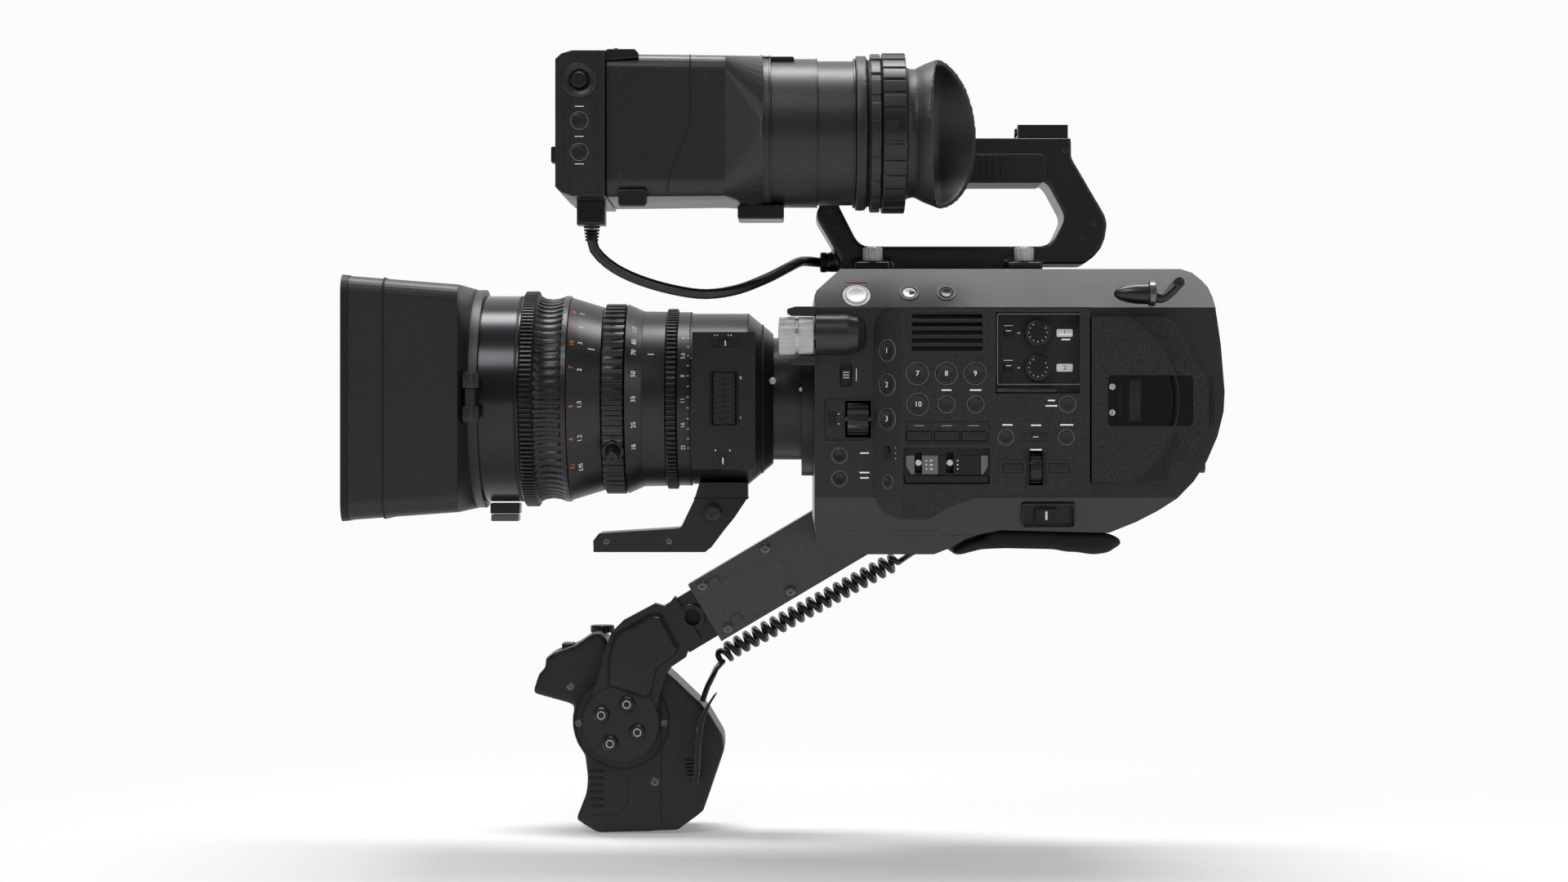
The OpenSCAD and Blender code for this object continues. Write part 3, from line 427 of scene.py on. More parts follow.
def on_ring(x, radius, angle, axis_y=0.0, axis_z=None, upright=False):
    """Lays artwork on the lens: angle 0 faces -Y, positive is upward; figures read upward."""
    axis_z = LENS_Z if axis_z is None else axis_z
    spin = Matrix.Rotation(math.radians(-angle), 4, "X")
    base = Matrix.Translation((x, -radius, 0)) @ Matrix.Rotation(math.radians(90), 4, "X")
    if not upright:
        base = base @ Matrix.Rotation(math.radians(90), 4, "Z")
    return Matrix.Translation((0, axis_y, axis_z)) @ spin @ base


def screw(name, x, y, z, r, body, mat=None, sign=-1):
    """A small screw with a recessed head, its face towards sign along Y."""
    prof = [(r * 0.98, 0.6 * -sign), (r, 0.0), (r * 0.86, 0.22 * sign), (r * 0.5, 0.26 * sign),
            (r * 0.42, 0.02 * sign), (0.01, -0.05 * sign)]
    return lathe(name, prof, mat or STEEL, body, (x, y, z), "Y", 28)


def button(name, x, y, z, r, body, mat=None, matrix=None):
    """A round dished cap in a collar painted light grey as a highlight, facing -Y unless a matrix turns it.
    """
    rise = 0.35
    prof = [(r, 0.4), (r, -rise + 0.15), (r - 0.25, -rise), (r - 0.7, -rise), (r - 1.1, -rise + 0.12),
            (0.01, -rise + 0.15)]
    cap = lathe(name, prof, mat or KEY, body, (x, y, z), "Y", 40, matrix=matrix)
    collar = [(r + 0.45, 0.5), (r + 0.45, 0.1), (r + 0.65, -0.12), (r + 0.85, 0.1), (r + 0.85, 0.5)]
    lathe(name + "_collar", collar, HIGHLIGHT_GREY, body, (x, y, z), "Y", 48, matrix=matrix, ring=True)
    return cap


def seam_line(name, points, half, body, lo, hi):
    """Dark straight seams joining the points, half as wide to each side."""
    for n, (p, q) in enumerate(zip(points, points[1:])):
        along = Vector((q[0] - p[0], q[1] - p[1])).normalized()
        s = Vector((-along.y, along.x)) * half
        prism(f"{name}_{n}", [(p[0] + s.x, p[1] + s.y), (q[0] + s.x, q[1] + s.y), (q[0] - s.x, q[1] - s.y),
              (p[0] - s.x, p[1] - s.y)], DEEP_BLACK_AND_SHADE, body, lo, hi, bevel=0)


def notches(depth, count, rows, above=0.0):
    """A wave that sinks the named profile rows wherever cos(count * t) is above a level."""
    return lambda i, t: -depth * (math.cos(count * t) > above) if i in rows else 0


def teeth(count, depth, rows):
    """A wave that cuts count teeth into the named profile rows."""
    def wave(i, t):
        if i not in rows:
            return 0
        return -depth * (0.5 + 0.5 * max(-1, min(1, 2.2 * math.cos(count * t))))
    return wave


def loft(name, rings, mat, body, close=False, caps=False):
    """Joins rings of equal count into one skin."""
    verts = [p for ring in rings for p in ring]
    n, m = len(rings[0]), len(rings)
    faces = []
    for i in range(m if close else m - 1):
        j = (i + 1) % m
        faces += [(i * n + k, i * n + (k + 1) % n, j * n + (k + 1) % n, j * n + k) for k in range(n)]
    if caps:
        faces += [tuple(range(n)), tuple(range((m - 1) * n, m * n))]
    return put(name, mesh_of(name, verts, faces), mat, body)


def rounded_copy(node, name, mat, body, voxel, rounds):
    """A softened, evenly meshed copy of a node's own solid, which stands for it."""
    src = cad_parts[node]
    mesh = src.data.copy()
    mesh.materials.clear()
    mesh.materials.append(mat)
    obj = bpy.data.objects.new(name, mesh)
    bpy.context.scene.collection.objects.link(obj)
    remesh = obj.modifiers.new("even", "REMESH")
    remesh.mode = "VOXEL"
    remesh.voxel_size = voxel * MM
    soften = obj.modifiers.new("soften", "SMOOTH")
    soften.factor = 0.6
    soften.iterations = rounds
    deps = bpy.context.evaluated_depsgraph_get()
    done = bpy.data.meshes.new_from_object(obj.evaluated_get(deps))
    obj.modifiers.clear()
    obj.data = done
    for face in done.polygons:
        face.use_smooth = True
    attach(obj, body)
    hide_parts(node)
    return obj


# ---------------------------------------------------------------- camera

cam_data = bpy.data.cameras.new("camera")
cam_data.sensor_width = 36
cam_data.lens = 67.8
camera = bpy.data.objects.new("camera", cam_data)
camera.location = (-0.0519, -1.5, 0.0558)
camera.rotation_euler = (math.radians(90), 0, 0)
bpy.context.scene.collection.objects.link(camera)
bpy.context.scene.camera = camera
bpy.context.scene.view_settings.view_transform = "Standard"


# ---------------------------------------------------------------- cables

def smooth_path(points, count):
    """Points evenly placed on a smooth curve through the given points."""
    pts = [Vector(p) for p in points]
    pts = [pts[0] * 2 - pts[1]] + pts + [pts[-1] * 2 - pts[-2]]
    out = []
    for i in range(1, len(pts) - 2):
        for k in range(24):
            t = k / 24
            a, b, c, d = pts[i - 1:i + 3]
            out.append(0.5 * ((2 * b) + (c - a) * t + (2 * a - 5 * b + 4 * c - d) * t * t
                              + (3 * b - a - 3 * c + d) * t ** 3))
    out.append(pts[-2])
    lengths = [0.0]
    for p, q in zip(out, out[1:]):
        lengths.append(lengths[-1] + (q - p).length)
    even, i = [], 0
    for k in range(count):
        want = lengths[-1] * k / (count - 1)
        while i < len(lengths) - 2 and lengths[i + 1] < want:
            i += 1
        span = lengths[i + 1] - lengths[i] or 1
        even.append(out[i].lerp(out[i + 1], (want - lengths[i]) / span))
    return even


def tube(name, pts, radius, mat, sides=10):
    """A closed round mesh tube along a path in millimetres."""
    rings = []
    across = Vector((0, 0, 1))
    for i, p in enumerate(pts):
        ahead = (pts[min(i + 1, len(pts) - 1)] - pts[max(i - 1, 0)]).normalized()
        across = (across - ahead * across.dot(ahead)).normalized()
        other = ahead.cross(across)
        rings.append([p + (across * math.cos(a) + other * math.sin(a)) * radius
                      for a in (2 * math.pi * k / sides for k in range(sides))])
    verts = [v * MM for ring in rings for v in ring]
    faces = [(i * sides + k, i * sides + (k + 1) % sides, (i + 1) * sides + (k + 1) % sides,
              (i + 1) * sides + k) for i in range(len(pts) - 1) for k in range(sides)]
    faces.append(tuple(range(sides))[::-1])
    faces.append(tuple(range((len(pts) - 1) * sides, len(pts) * sides)))
    mesh = mesh_of(name, verts, faces)
    for face in mesh.polygons:
        face.use_smooth = True
    mesh.materials.append(mat)
    obj = bpy.data.objects.new(name, mesh)
    bpy.context.scene.collection.objects.link(obj)
    return obj


EVF_ROUTE = [(-143, -100, 155.2), (-142, -99, 147), (-134, -97, 139), (-122, -92, 133),
             (-106, -85, 128.5), (-90, -79, 126.5), (-75, -70, 129), (-61, -56, 135), (-51, -40, 141),
             (-45, -24, 145), (-41, -10, 146.5), (-33.9, 0, 146.5)]
EVF_WIRE_R = 2.5
evf_pts = smooth_path(EVF_ROUTE, 40)
evf_cable = tube("viewfinder_cable", evf_pts, EVF_WIRE_R, CABLE, 14)
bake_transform(evf_cable)
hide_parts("evf_cable")

LEAD_ROUTE = [(40, 64.2, 26), (40, 68, 23), (37, 74, 15), (30, 83, 5), (20, 90, -3), (9.7, 93, -8)]
COIL_ROUTE = [(9.7, 93, -8), (-30, 93, -29.5), (-62, 93, -46.8), (-80, 93, -56.5), (-86, 90, -62)]
TAIL_ROUTE = [(-86, 90, -62), (-90, GRIP_Y + 7, -70), (-93, GRIP_Y + 4.4, -76),
              (-95.5, GRIP_Y + 3.6, -83.5)]
AXIS_COUNT = 400
LAST = AXIS_COUNT - 1
TURNS = 20
WIRE_R = 1.6
COIL_R = 4.0
axis_pts = smooth_path(LEAD_ROUTE + COIL_ROUTE[1:] + TAIL_ROUTE[1:], AXIS_COUNT)
coil_from = min(range(AXIS_COUNT), key=lambda i: (axis_pts[i] - Vector(COIL_ROUTE[0])).length)
coil_to = min(range(AXIS_COUNT), key=lambda i: (axis_pts[i] - Vector(COIL_ROUTE[-1])).length)
coil = axis_pts[:coil_from - 12:10]
STEPS = TURNS * 20
for k in range(STEPS + 1):
    u = k / STEPS
    place = coil_from + u * (coil_to - coil_from)
    i = min(int(place), LAST - 1)
    centre = axis_pts[i].lerp(axis_pts[i + 1], place - i)
    ahead = (axis_pts[min(i + 6, LAST)] - axis_pts[max(i - 6, 0)]).normalized()
    side = ahead.cross(Vector((0, 1, 0))).normalized()
    other = ahead.cross(side).normalized()
    swell = min(1.0, 0.35 + u * TURNS, 0.35 + (1 - u) * TURNS)
    phase = 2 * math.pi * TURNS * u
    coil.append(centre + (side * math.cos(phase) + other * math.sin(phase)) * COIL_R * swell)
coil += axis_pts[coil_to + 14::8] + [axis_pts[-1]]
grip_cable = tube("grip_cable_coil", coil, WIRE_R, CABLE, 10)
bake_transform(grip_cable)
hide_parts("grip_cable")


# ---------------------------------------------------------------- lens

focus = lathe("focus_ring_rubber", [(47.9, -182.3), (53.9, -182.3), (54.6, -181.8), (54.6, -176.1),
              (54.0, -175.6), (52.2, -175.2), (51.9, -174.2), (51.0, -172.5), (50.5, -168.7),
              (51.0, -165), (51.8, -162.6), (52.2, -161.9), (52.2, -159.5), (51.9, -159.3), (47.9, -159.3)],
              BLACK, "focus_ring", (0, 0, LENS_Z), segs=1120, ring=True,
              wave=lambda i, t: teeth(140, 1.5, (1, 2, 3, 4))(i, t) + teeth(70, 1.0, (6, 7, 8, 9, 10))(i, t))
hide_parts("focus_ring")
zoom = lathe("zoom_ring_ribbed", [(42.3, -142.3), (46.2, -142.3), (46.6, -142.0), (48.1, -141.4),
             (48.1, -131.7), (46.6, -131.1), (46.2, -130.8), (42.3, -130.8)], BLACK, "zoom_ring",
             (0, 0, LENS_Z), segs=1160, ring=True, wave=teeth(58, 1.1, (3, 4)))
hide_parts("zoom_ring")
pin_turn = Matrix.Translation((-136.5, 0, LENS_Z)) @ Matrix.Rotation(math.radians(33), 4, "X")
lathe("zoom_pin_seat", [(5.6, -46.0), (5.6, -48.6), (5.2, -49.1), (3.9, -49.1), (3.7, -48.4), (0.1, -48.4)],
      BLACK, "zoom_ring", axis="Y", segs=40, matrix=pin_turn)
lathe("zoom_pin", [(3.5, -46.0), (3.5, -54.0), (2.9, -55.0), (1.2, -55.0), (1.0, -54.4), (0.1, -54.4)],
      BLACK, "zoom_ring", axis="Y", segs=32, matrix=pin_turn)
iris = lathe("iris_ring_gear", [(41.3, -110.7), (45.0, -110.7), (45.7, -110.2), (45.7, -105.6),
             (45.0, -105.1), (41.3, -105.1)], BLACK, "iris_ring", (0, 0, LENS_Z), segs=1040, ring=True,
             wave=teeth(104, 1.3, (1, 2, 3, 4)))
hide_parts("iris_ring")
for n, (x, r) in enumerate([(-184.0, 52.15), (-203.6, 52.2), (-122.6, 44.45), (-98.7, 44.02),
                            (-69.9, 43.3), (-62.5, 37.7)]):
    lathe(f"lens_seam_{n}", [(r - 0.3, x - 0.35), (r + 0.06, x - 0.3), (r - 0.05, x), (r + 0.06, x + 0.3),
          (r - 0.3, x + 0.35)], DEEP_BLACK_AND_SHADE, "camera", (0, 0, LENS_Z), segs=128, ring=True)
FOCUS_SLOPE = Matrix.Rotation(math.radians(17), 4, "X")
ZOOM_SLOPE = Matrix.Rotation(math.radians(24.2), 4, "X")
lens_white = Prints("lens_figures", WHITE, "camera")
feet = Prints("focus_feet", ORANGE, "camera")
for text, a in (("2", 58), ("3", 33), ("5", 45), ("1.5", -4), ("2", 16), ("1.2", -24), ("0.95", -44)):
    lens_white.figure(text, 3.1, on_ring(-152.5, 49.42, a) @ FOCUS_SLOPE)
for text, a in (("20", 57), ("15", 44), ("10", 32), ("7", 17), ("5", -5), ("4", -24), ("3.1", -42)):
    feet.figure(text, 3.1, on_ring(-156.6, 50.67, a) @ FOCUS_SLOPE)
for text, a in (("110", 47), ("85", 37), ("70", 29), ("50", 14.5), ("35", -1), ("25", -17), ("18", -32)):
    lens_white.figure(text, 3.4, on_ring(-126.2, 46.17, a) @ ZOOM_SLOPE)
for text, a in (("4", 42), ("5.6", 28), ("8", 14), ("11", -2), ("16", -18), ("22", -34)):
    lens_white.figure(text, 2.9, on_ring(-101.9, 44.1, a))
for k in range(12):
    lens_white.bar(0.35, 1.1, on_ring(-99.4, 44.05, 42 - 6.95 * k))
lens_white.bar(0.4, 3.4, on_ring(-147.2, 47.85, 30) @ FOCUS_SLOPE)
lens_white.bar(0.4, 3.4, on_ring(-118, 44.3, 29))
lens_white.bar(0.4, 3.0, on_ring(-96.8, 43.26, 27))
lens_white.dot(1.1, on_ring(-43.4, 31.0, 8))
# servo housing: stabiliser switch, rocker surround, servo switch
HOUSE_Y = box_mm("lens_barrel")[0].y
frame_bar("stabiliser_rim", rrect(-88.2, -73.6, 101.0, 106.4, 0.8), rrect(-87.4, -74.4, 101.8, 105.6, 0.5),
          LENS, "camera", HOUSE_Y - 0.3, HOUSE_Y + 0.4)
# near-black bed inside the stabiliser rim: painted shade of the recess
prism("stabiliser_bed", rrect(-87.4, -74.4, 101.8, 105.6, 0.5), DEEP_BLACK_AND_SHADE, "camera", HOUSE_Y - 0.05,
      HOUSE_Y + 0.3, bevel=0)
prism("stabiliser_knob", rrect(-83.9, -77.6, 102.1, 105.3, 0.5), BLACK, "camera", HOUSE_Y - 0.9, HOUSE_Y)
lens_white.bar(0.5, 2.6, facing(-80.6, HOUSE_Y - 0.92, 103.7))
for x in (-79.2, -77.8, -84.6, -86.0):
    lens_white.dot(0.3, facing(x, HOUSE_Y - 0.05, 107.6))
frame_bar("rocker_rim", rrect(-88.2, -74.2, LENS_Z - 15.0, LENS_Z + 14.0, 2),
          rrect(-87.4, -75.0, LENS_Z - 14.2, LENS_Z + 13.2, 1.4), LENS, "camera", HOUSE_Y - 0.35,
          HOUSE_Y + 0.3)
for n in range(9):
    z = LENS_Z - 12.0 + n * 2.75
    prism(f"rocker_rib_{n}", [(-86.0, -55.1), (-85.6, -56.1), (-82.6, -55.1), (-79.8, -55.1),
                              (-76.8, -56.1), (-76.4, -55.1), (-79.8, -54.3), (-82.6, -54.3)], BLACK,
          "zoom_rocker", z, z + 1.3, axis="Z", bevel=0.15)
prism("servo_switch", rrect(-83.6, -80.0, 43.6, 48.6, 0.6), BLACK, "camera", HOUSE_Y - 0.8, HOUSE_Y + 0.2)
frame_bar("servo_rim", rrect(-87.2, -76.6, 42.6, 49.4, 0.8), rrect(-86.6, -77.2, 43.2, 48.8, 0.5), LENS,
          "camera", HOUSE_Y - 0.25, HOUSE_Y + 0.3)
lens_white.bar(0.5, 3.2, facing(-81.8, HOUSE_Y - 0.83, 46.1))
for x in (-85.4, -78.4):
    lens_white.dot(0.35, facing(x, HOUSE_Y - 0.05, 51.2))
lens_white.figure("0", 2.0, facing(-73.2, HOUSE_Y - 0.05, LENS_Z + 9.5))
lens_white.figure("1", 2.0, facing(-73.2, HOUSE_Y - 0.05, LENS_Z - 10))
lens_white.done()
feet.done()
for n, z in enumerate((19.0, 15.2)):
    prism(f"front_foot_{n}", rrect(-200.5 + 0.4 * n, -185.6 - 0.6 * n, z, z + 5.4 - 2 * n, 0.6),
          (BLACK, STEEL)[n], "camera", -6, 6, bevel=0.4)
screw("foot_lock", -87.6, -24.0, 20, 4.0, "camera", ARM)
lathe("foot_lock_lever", [(4.4, 0), (4.4, -4.2), (3.9, -4.8), (0.1, -4.9)], BLACK, "camera",
      (-87.6, -18.2, 20), "Y", 60, wave=notches(0.35, 14, (0, 1), 0.2))
prism("foot_joint", rrect(-97.2, -69.9, 26.6, 27.4, 0.3), DEEP_BLACK_AND_SHADE, "camera", -18.15, 18.15, bevel=0)
for n, x in enumerate((-109.5, -141.0)):
    screw(f"foot_screw_{n}", x, -18.0, 5.4, 1.6, "camera")
screw("mount_catch", -57.5, -36.6, 85.6, 1.7, "camera", SILVER)

# hood detail: clamp knob, front lip and band
knurl = lathe("hood_thumb_screw", [(1.5, -4.3), (4.0, -4.4), (4.4, -4.9), (4.4, -11.4), (4.0, -12.0),
                                   (0.1, -12.1)], ARM, "hood_knob", (KNOB.x, KNOB.y, KNOB.z), "Z", 96,
              wave=notches(0.3, 24, (2, 3)))
lathe("hood_thumb_top", [(1.5, 4.3), (4.0, 4.4), (4.4, 4.9), (4.4, 11.4), (4.0, 12.0), (0.1, 12.1)],
      ARM, "hood_knob", (KNOB.x, KNOB.y, KNOB.z), "Z", 96,
      wave=notches(0.3, 24, (2, 3)))
lathe("hood_thumb_stem", [(1.5, -7.0), (1.5, 7.0)], STEEL, "hood_knob", (KNOB.x, KNOB.y, KNOB.z), "Z", 24)
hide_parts("hood_knob")


def hood_ring(x, w, h):
    """A rounded rectangle across the lens axis."""
    return [(x, u, v + LENS_Z - 0.5) for u, v in rrect(-w / 2, w / 2, -h / 2, h / 2, 9, 8)]


loft("hood_lip", [hood_ring(-266.1, 150.8, 119.8), hood_ring(-262.6, 150.2, 119.2),
                  hood_ring(-262.6, 144, 113), hood_ring(-266.1, 144.4, 113.6)], RUBBER, "camera", close=True)
loft("hood_band", [hood_ring(-246.6, 142.3, 117.3), hood_ring(-246.1, 142.9, 117.7),
                   hood_ring(-245.6, 141.9, 117.2), hood_ring(-246.1, 139, 113)], DEEP_BLACK_AND_SHADE, "camera", close=True)

# front glass rim rings inside the hood
for n, (r, x) in enumerate([(44, -200.5), (45.6, -203.6)]):
    lathe(f"glass_rim_{n}", [(r, x), (r - 0.4, x - 1.2), (r - 1.8, x - 0.8), (r - 1.8, x)], DEEP_BLACK_AND_SHADE, "camera",
          (0, 0, LENS_Z), segs=128, ring=True)


# ---------------------------------------------------------------- body side and control panel

white = Prints("panel_figures", WHITE, "camera")
grey = Prints("panel_marks", GREY, "camera")
dark = Prints("panel_dark_figures", DEEP_BLACK_AND_SHADE, "camera")
red = Prints("record_mark", RED, "camera")
for text, x, z in (("7", 12.6, 88.4), ("8", 26.6, 88.4), ("9", 40.6, 88.4), ("10", 12.9, 73.5)):
    button(f"key_{text}", x, PANEL_Y - 0.5, z, 4.7, "camera")
    white.figure(text, 3.6, facing(x, PANEL_Y - 0.78, z))
for n, x in enumerate((26.7, 40.8)):
    button(f"key_small_{n}", x, PANEL_Y - 0.3, 73.5, 3.4, "camera")
BEVEL = Matrix.Translation((-1.5, BODY_Y - 7.5, 0)) @ Matrix.Rotation(math.radians(-45), 4, "Z")
for text, z in (("1", 99.7), ("2", 83.1), ("3", 66.5)):
    turned = BEVEL @ Matrix.Translation((0, -0.5, z))
    button(f"key_{text}", 0, 0, 0, 4.6, "camera", matrix=turned)
    white.figure(text, 3.8, turned @ facing(0, -0.3, 0))
# near-black focus slot: painted shade of the slot
prism("focus_slot", rrect(-2.1, 2.1, -3.6, 3.6, 2), DEEP_BLACK_AND_SHADE, "camera", -0.15, 0.3,
      matrix=BEVEL @ Matrix.Translation((0, -0.05, 49.9)), bevel=0)
prism("focus_slider", rrect(-1.3, 1.3, 0.2, 3.0, 1), BLACK, "camera", -1.5, 0,
      matrix=BEVEL @ Matrix.Translation((0, -0.05, 49.9)))
button("focus_push", 0, 0, 0, 2.6, "camera", matrix=BEVEL @ Matrix.Translation((0, -0.2, 36)))
for k in range(3):
    white.dot(0.25, BEVEL @ Matrix.Translation((5.2, -0.08,
                                                52.5 - 2.6 * k)) @ Matrix.Rotation(math.radians(90), 4,
                                                                                   "X"))
# vent with sloped bars in a rounded frame
frame_bar("vent_rim", rrect(7.4, 46.2, 97.6, 119.4, 3), rrect(9.2, 44.6, 99.2, 118.0, 2), PANEL, "camera",
          PANEL_Y - 0.35, PANEL_Y + 0.5, bevel=0.3)
for n in range(5):
    z = 99.5 + n * 3.9
    prism(f"vent_bar_{n}", [(PANEL_Y - 0.1, z + 2.0), (PANEL_Y + 0.1, z + 3.8), (PANEL_Y + 2.6, z + 2.9),
          (PANEL_Y + 2.6, z + 1.6)], KEY, "camera", 9.4, 44.4, axis="X", bevel=0.2)
# rectangular keys
for n, x in enumerate((7.4, 20.8, 33.9)):
    prism(f"flat_key_{n}", rrect(x + 0.4, x + 11.8, 56.2, 60.2, 0.5), KEY, "camera", PANEL_Y - 0.1,
          PANEL_Y + 1.0, bevel=0.4)
    grey.bar(5.0, 0.3, facing(x + 6, PANEL_Y + 0.95, 63.2))
# toggle recess with its light slanted plate
FLOOR = PANEL_Y + 3
TOGGLE_Z = (39.7, 48.8)
prism("toggle_left", [(7.1, 43.6), (9.6, 39.7), (11.3, 39.7), (11.3, 48.8), (7.1, 48.8)], LIGHT, "camera",
      FLOOR - 1.4, FLOOR, bevel=0.2)
prism("toggle_middle", rrect(14.9, 22.7, *TOGGLE_Z, 0.2, 2), LIGHT, "camera", FLOOR - 1.4, FLOOR, bevel=0.2)
prism("toggle_dark_1", rrect(23.0, 26.5, *TOGGLE_Z, 0.2, 2), BLACK, "camera", FLOOR - 1.1, FLOOR, bevel=0.2)
prism("toggle_dark_2", rrect(30.1, 43.2, *TOGGLE_Z, 0.2, 2), BLACK, "camera", FLOOR - 1.1, FLOOR, bevel=0.2)
prism("toggle_right", [(43.5, 39.7), (44.6, 39.7), (47.0, 43.6), (47.0, 48.8), (43.5, 48.8)], LIGHT, "camera",
      FLOOR - 1.4, FLOOR, bevel=0.2)
prism("toggle_lip", rrect(6.4, 47.1, 35.4, 39.0, 0.8), BLACK, "camera", FLOOR - 1.8, FLOOR, bevel=0.5)
for name, x in (("gain_toggle", 13.1), ("balance_toggle", 28.3)):
    bat = lathe(f"{name}_bat", [(1.25, 8), (1.2, 2.0), (1.05, 0.5), (1.35, -1.0), (1.6, -2.0), (1.35, -2.9),
                (0.7, -3.3), (0.05, -3.4)], SILVER, name, (x, PANEL_Y + 1.2, 45.3), "Y", 28)
    lathe(f"{name}_pin", [(1.0, x - 3.4), (1.0, x + 3.4)], SILVER, name, (0, PANEL_Y + 7, 45.3), "X", 20)
    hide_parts(name)
for k in range(3):
    white.dot(0.35, facing(17.0, FLOOR - 1.45, 42.3 + 2.0 * k))
    white.bar(1.3, 0.5, facing(19.4, FLOOR - 1.45, 42.3 + 2.0 * k))
    white.dot(0.35, facing(32.2, FLOOR - 1.15, 42.3 + 2.0 * k))
# audio panel: dials, switches, clear lid
for n, z in enumerate((108.3, 91.4)):
    dial = lathe(f"level_dial_{n + 1}", [(6.5, 7.2), (6.5, 3.2), (6.1, 2.7), (5.4, 2.5), (5.2, 2.2),
                                         (0.05, 2.2)], BLACK, f"audio_dial_{n + 1}", (71.1, PANEL_Y, z),
                 "Y", 144, wave=notches(0.28, 36, (0, 1)))
    lathe(f"level_shaft_{n + 1}", [(2.0, 7.0), (2.0, 12.4)], STEEL, f"audio_dial_{n + 1}",
          (71.1, PANEL_Y, z), "Y", 24)
    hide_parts(f"audio_dial_{n + 1}")
    marks = Prints(f"level_marks_{n + 1}", WHITE, f"audio_dial_{n + 1}")
    for k in range(10):
        a = math.radians(120 + k * 30)
        marks.dot(0.26, facing(71.1 + 4.4 * math.cos(a), PANEL_Y + 2.16, z + 4.4 * math.sin(a)))
    marks.done()
    # near-black switch slot behind the key: painted shade
    prism(f"level_switch_{n}", rrect(55.0, 59.2, z - 1.8, z + 1.8, 0.5), DEEP_BLACK_AND_SHADE, "camera", PANEL_Y + 6.2,
          PANEL_Y + 7.6)
    prism(f"level_key_{n}", rrect(55.5, 58.7, z - 0.2, z + 1.5, 0.4), BLACK, "camera", PANEL_Y + 5.2,
          PANEL_Y + 7.0)
    white.bar(2.6, 0.35, facing(57.1, PANEL_Y + 5.15, z + 1.0))
    white.bar(4.4, 0.3, facing(57.1, PANEL_Y + 7.4, z + 3.6))
    white.bar(1.2, 0.5, facing(62.2, PANEL_Y + 7.4, z))
    prism(f"channel_tab_{n}", rrect(80.6, 88.4, z - 1.9, z + 1.9, 0.6), WHITE, "camera", PANEL_Y + 7.1,
          PANEL_Y + 7.6, bevel=0.05)
    dark.figure(str(n + 1), 3.2, facing(84.5, PANEL_Y + 7.05, z))
# the clear lid's edge line is painted light grey as a highlight
frame_bar("lid_edge", rrect(51.2, 91.6, 83.0, 117.4, 1.0), rrect(51.6, 91.2, 83.4, 117.0, 0.8), HIGHLIGHT_GREY,
          "audio_cover", PANEL_Y + 0.12, PANEL_Y + 0.3, bevel=0)
lathe("lid_hinge", [(1.25, 51.0), (1.35, 51.4), (1.35, 79.5), (1.25, 79.9)], PANEL, "audio_cover",
      (0, PANEL_Y + 1.5, 80.3), "X", 32)
# small buttons and the select wheel
for name, x, z, r in (("slot_button", 85.2, 73.6, 3.3), ("cancel_button", 55.4, 57.6, 3.1),
                      ("thumb_button", 84.6, 57.6, 3.1)):
    button(name, x, PANEL_Y - 0.2, z, r, "camera")
frame_bar("menu_rim", rrect(63.4, 76.2, 54.9, 60.7, 0.8), rrect(64.2, 75.4, 55.7, 59.9, 0.5), PANEL, "camera",
          PANEL_Y - 0.25, PANEL_Y + 0.3)
prism("menu_key", rrect(64.5, 75.1, 56.0, 59.6, 0.5), KEY, "camera", PANEL_Y - 0.5, PANEL_Y + 0.4)
white.bar(2.6, 0.3, facing(69.8, PANEL_Y - 0.53, 57.8))
wheel = lathe("select_wheel_ribbed", [(7.3, 67.1), (7.9, 67.5), (7.9, 72.5), (7.3, 72.9)], BLACK,
              "select_wheel", (0, PANEL_Y + 6, 42.6), "X", 144, wave=notches(0.5, 18, (1, 2), 0.1))
lathe("select_wheel_shaft", [(1.5, 62.4), (1.5, 77.6)], STEEL, "select_wheel", (0, PANEL_Y + 6, 42.6), "X",
      24)
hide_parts("select_wheel")
for n, (a, b) in enumerate(((52.0, 65.6), (74.4, 88.0))):
    frame_bar(f"arrow_rim_{n}", rrect(a, b, 38.6, 46.6, 1.0), rrect(a + 1.8, b - 1.8, 40.2, 45.0, 0.6), PANEL,
              "camera", PANEL_Y - 0.5, PANEL_Y + 0.4, bevel=0.3)
    prism(f"arrow_key_{n}", rrect(a + 2.1, b - 2.1, 40.5, 44.7, 0.5), KEY, "camera", PANEL_Y - 0.75,
          PANEL_Y + 0.4, bevel=0.35)
    frame_bar(f"wheel_cheek_{n}", rrect((65.2, 73.4)[n], (66.6, 74.8)[n], 33.9, 51.2, 0.3),
              rrect((65.6, 73.8)[n], (66.2, 74.4)[n], 34.5, 50.6, 0.2), PANEL, "camera", PANEL_Y - 0.9,
              PANEL_Y + 0.3)
# left edge of the body: iris wheel, buttons, preset and mode switches
wheel2 = lathe("iris_wheel_ribbed", [(7.4, -21.0), (8.0, -20.6), (8.0, -11.0), (7.4, -10.6)], BLACK,
               "iris_wheel", (0, BODY_Y + 5, 66.6), "X", 144, wave=notches(0.6, 16, (1, 2)))
lathe("iris_wheel_shaft", [(1.5, -24.8), (1.5, -6.7)], STEEL, "iris_wheel", (0, BODY_Y + 5, 66.6), "X", 24)
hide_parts("iris_wheel")
frame_bar("iris_rim", rrect(-33.2, -8.6, 55.0, 78.1, 2.6), rrect(-32.2, -9.4, 56.0, 77.1, 2.0), BODY,
          "camera", BODY_Y - 0.3, BODY_Y + 0.5, bevel=0.25)
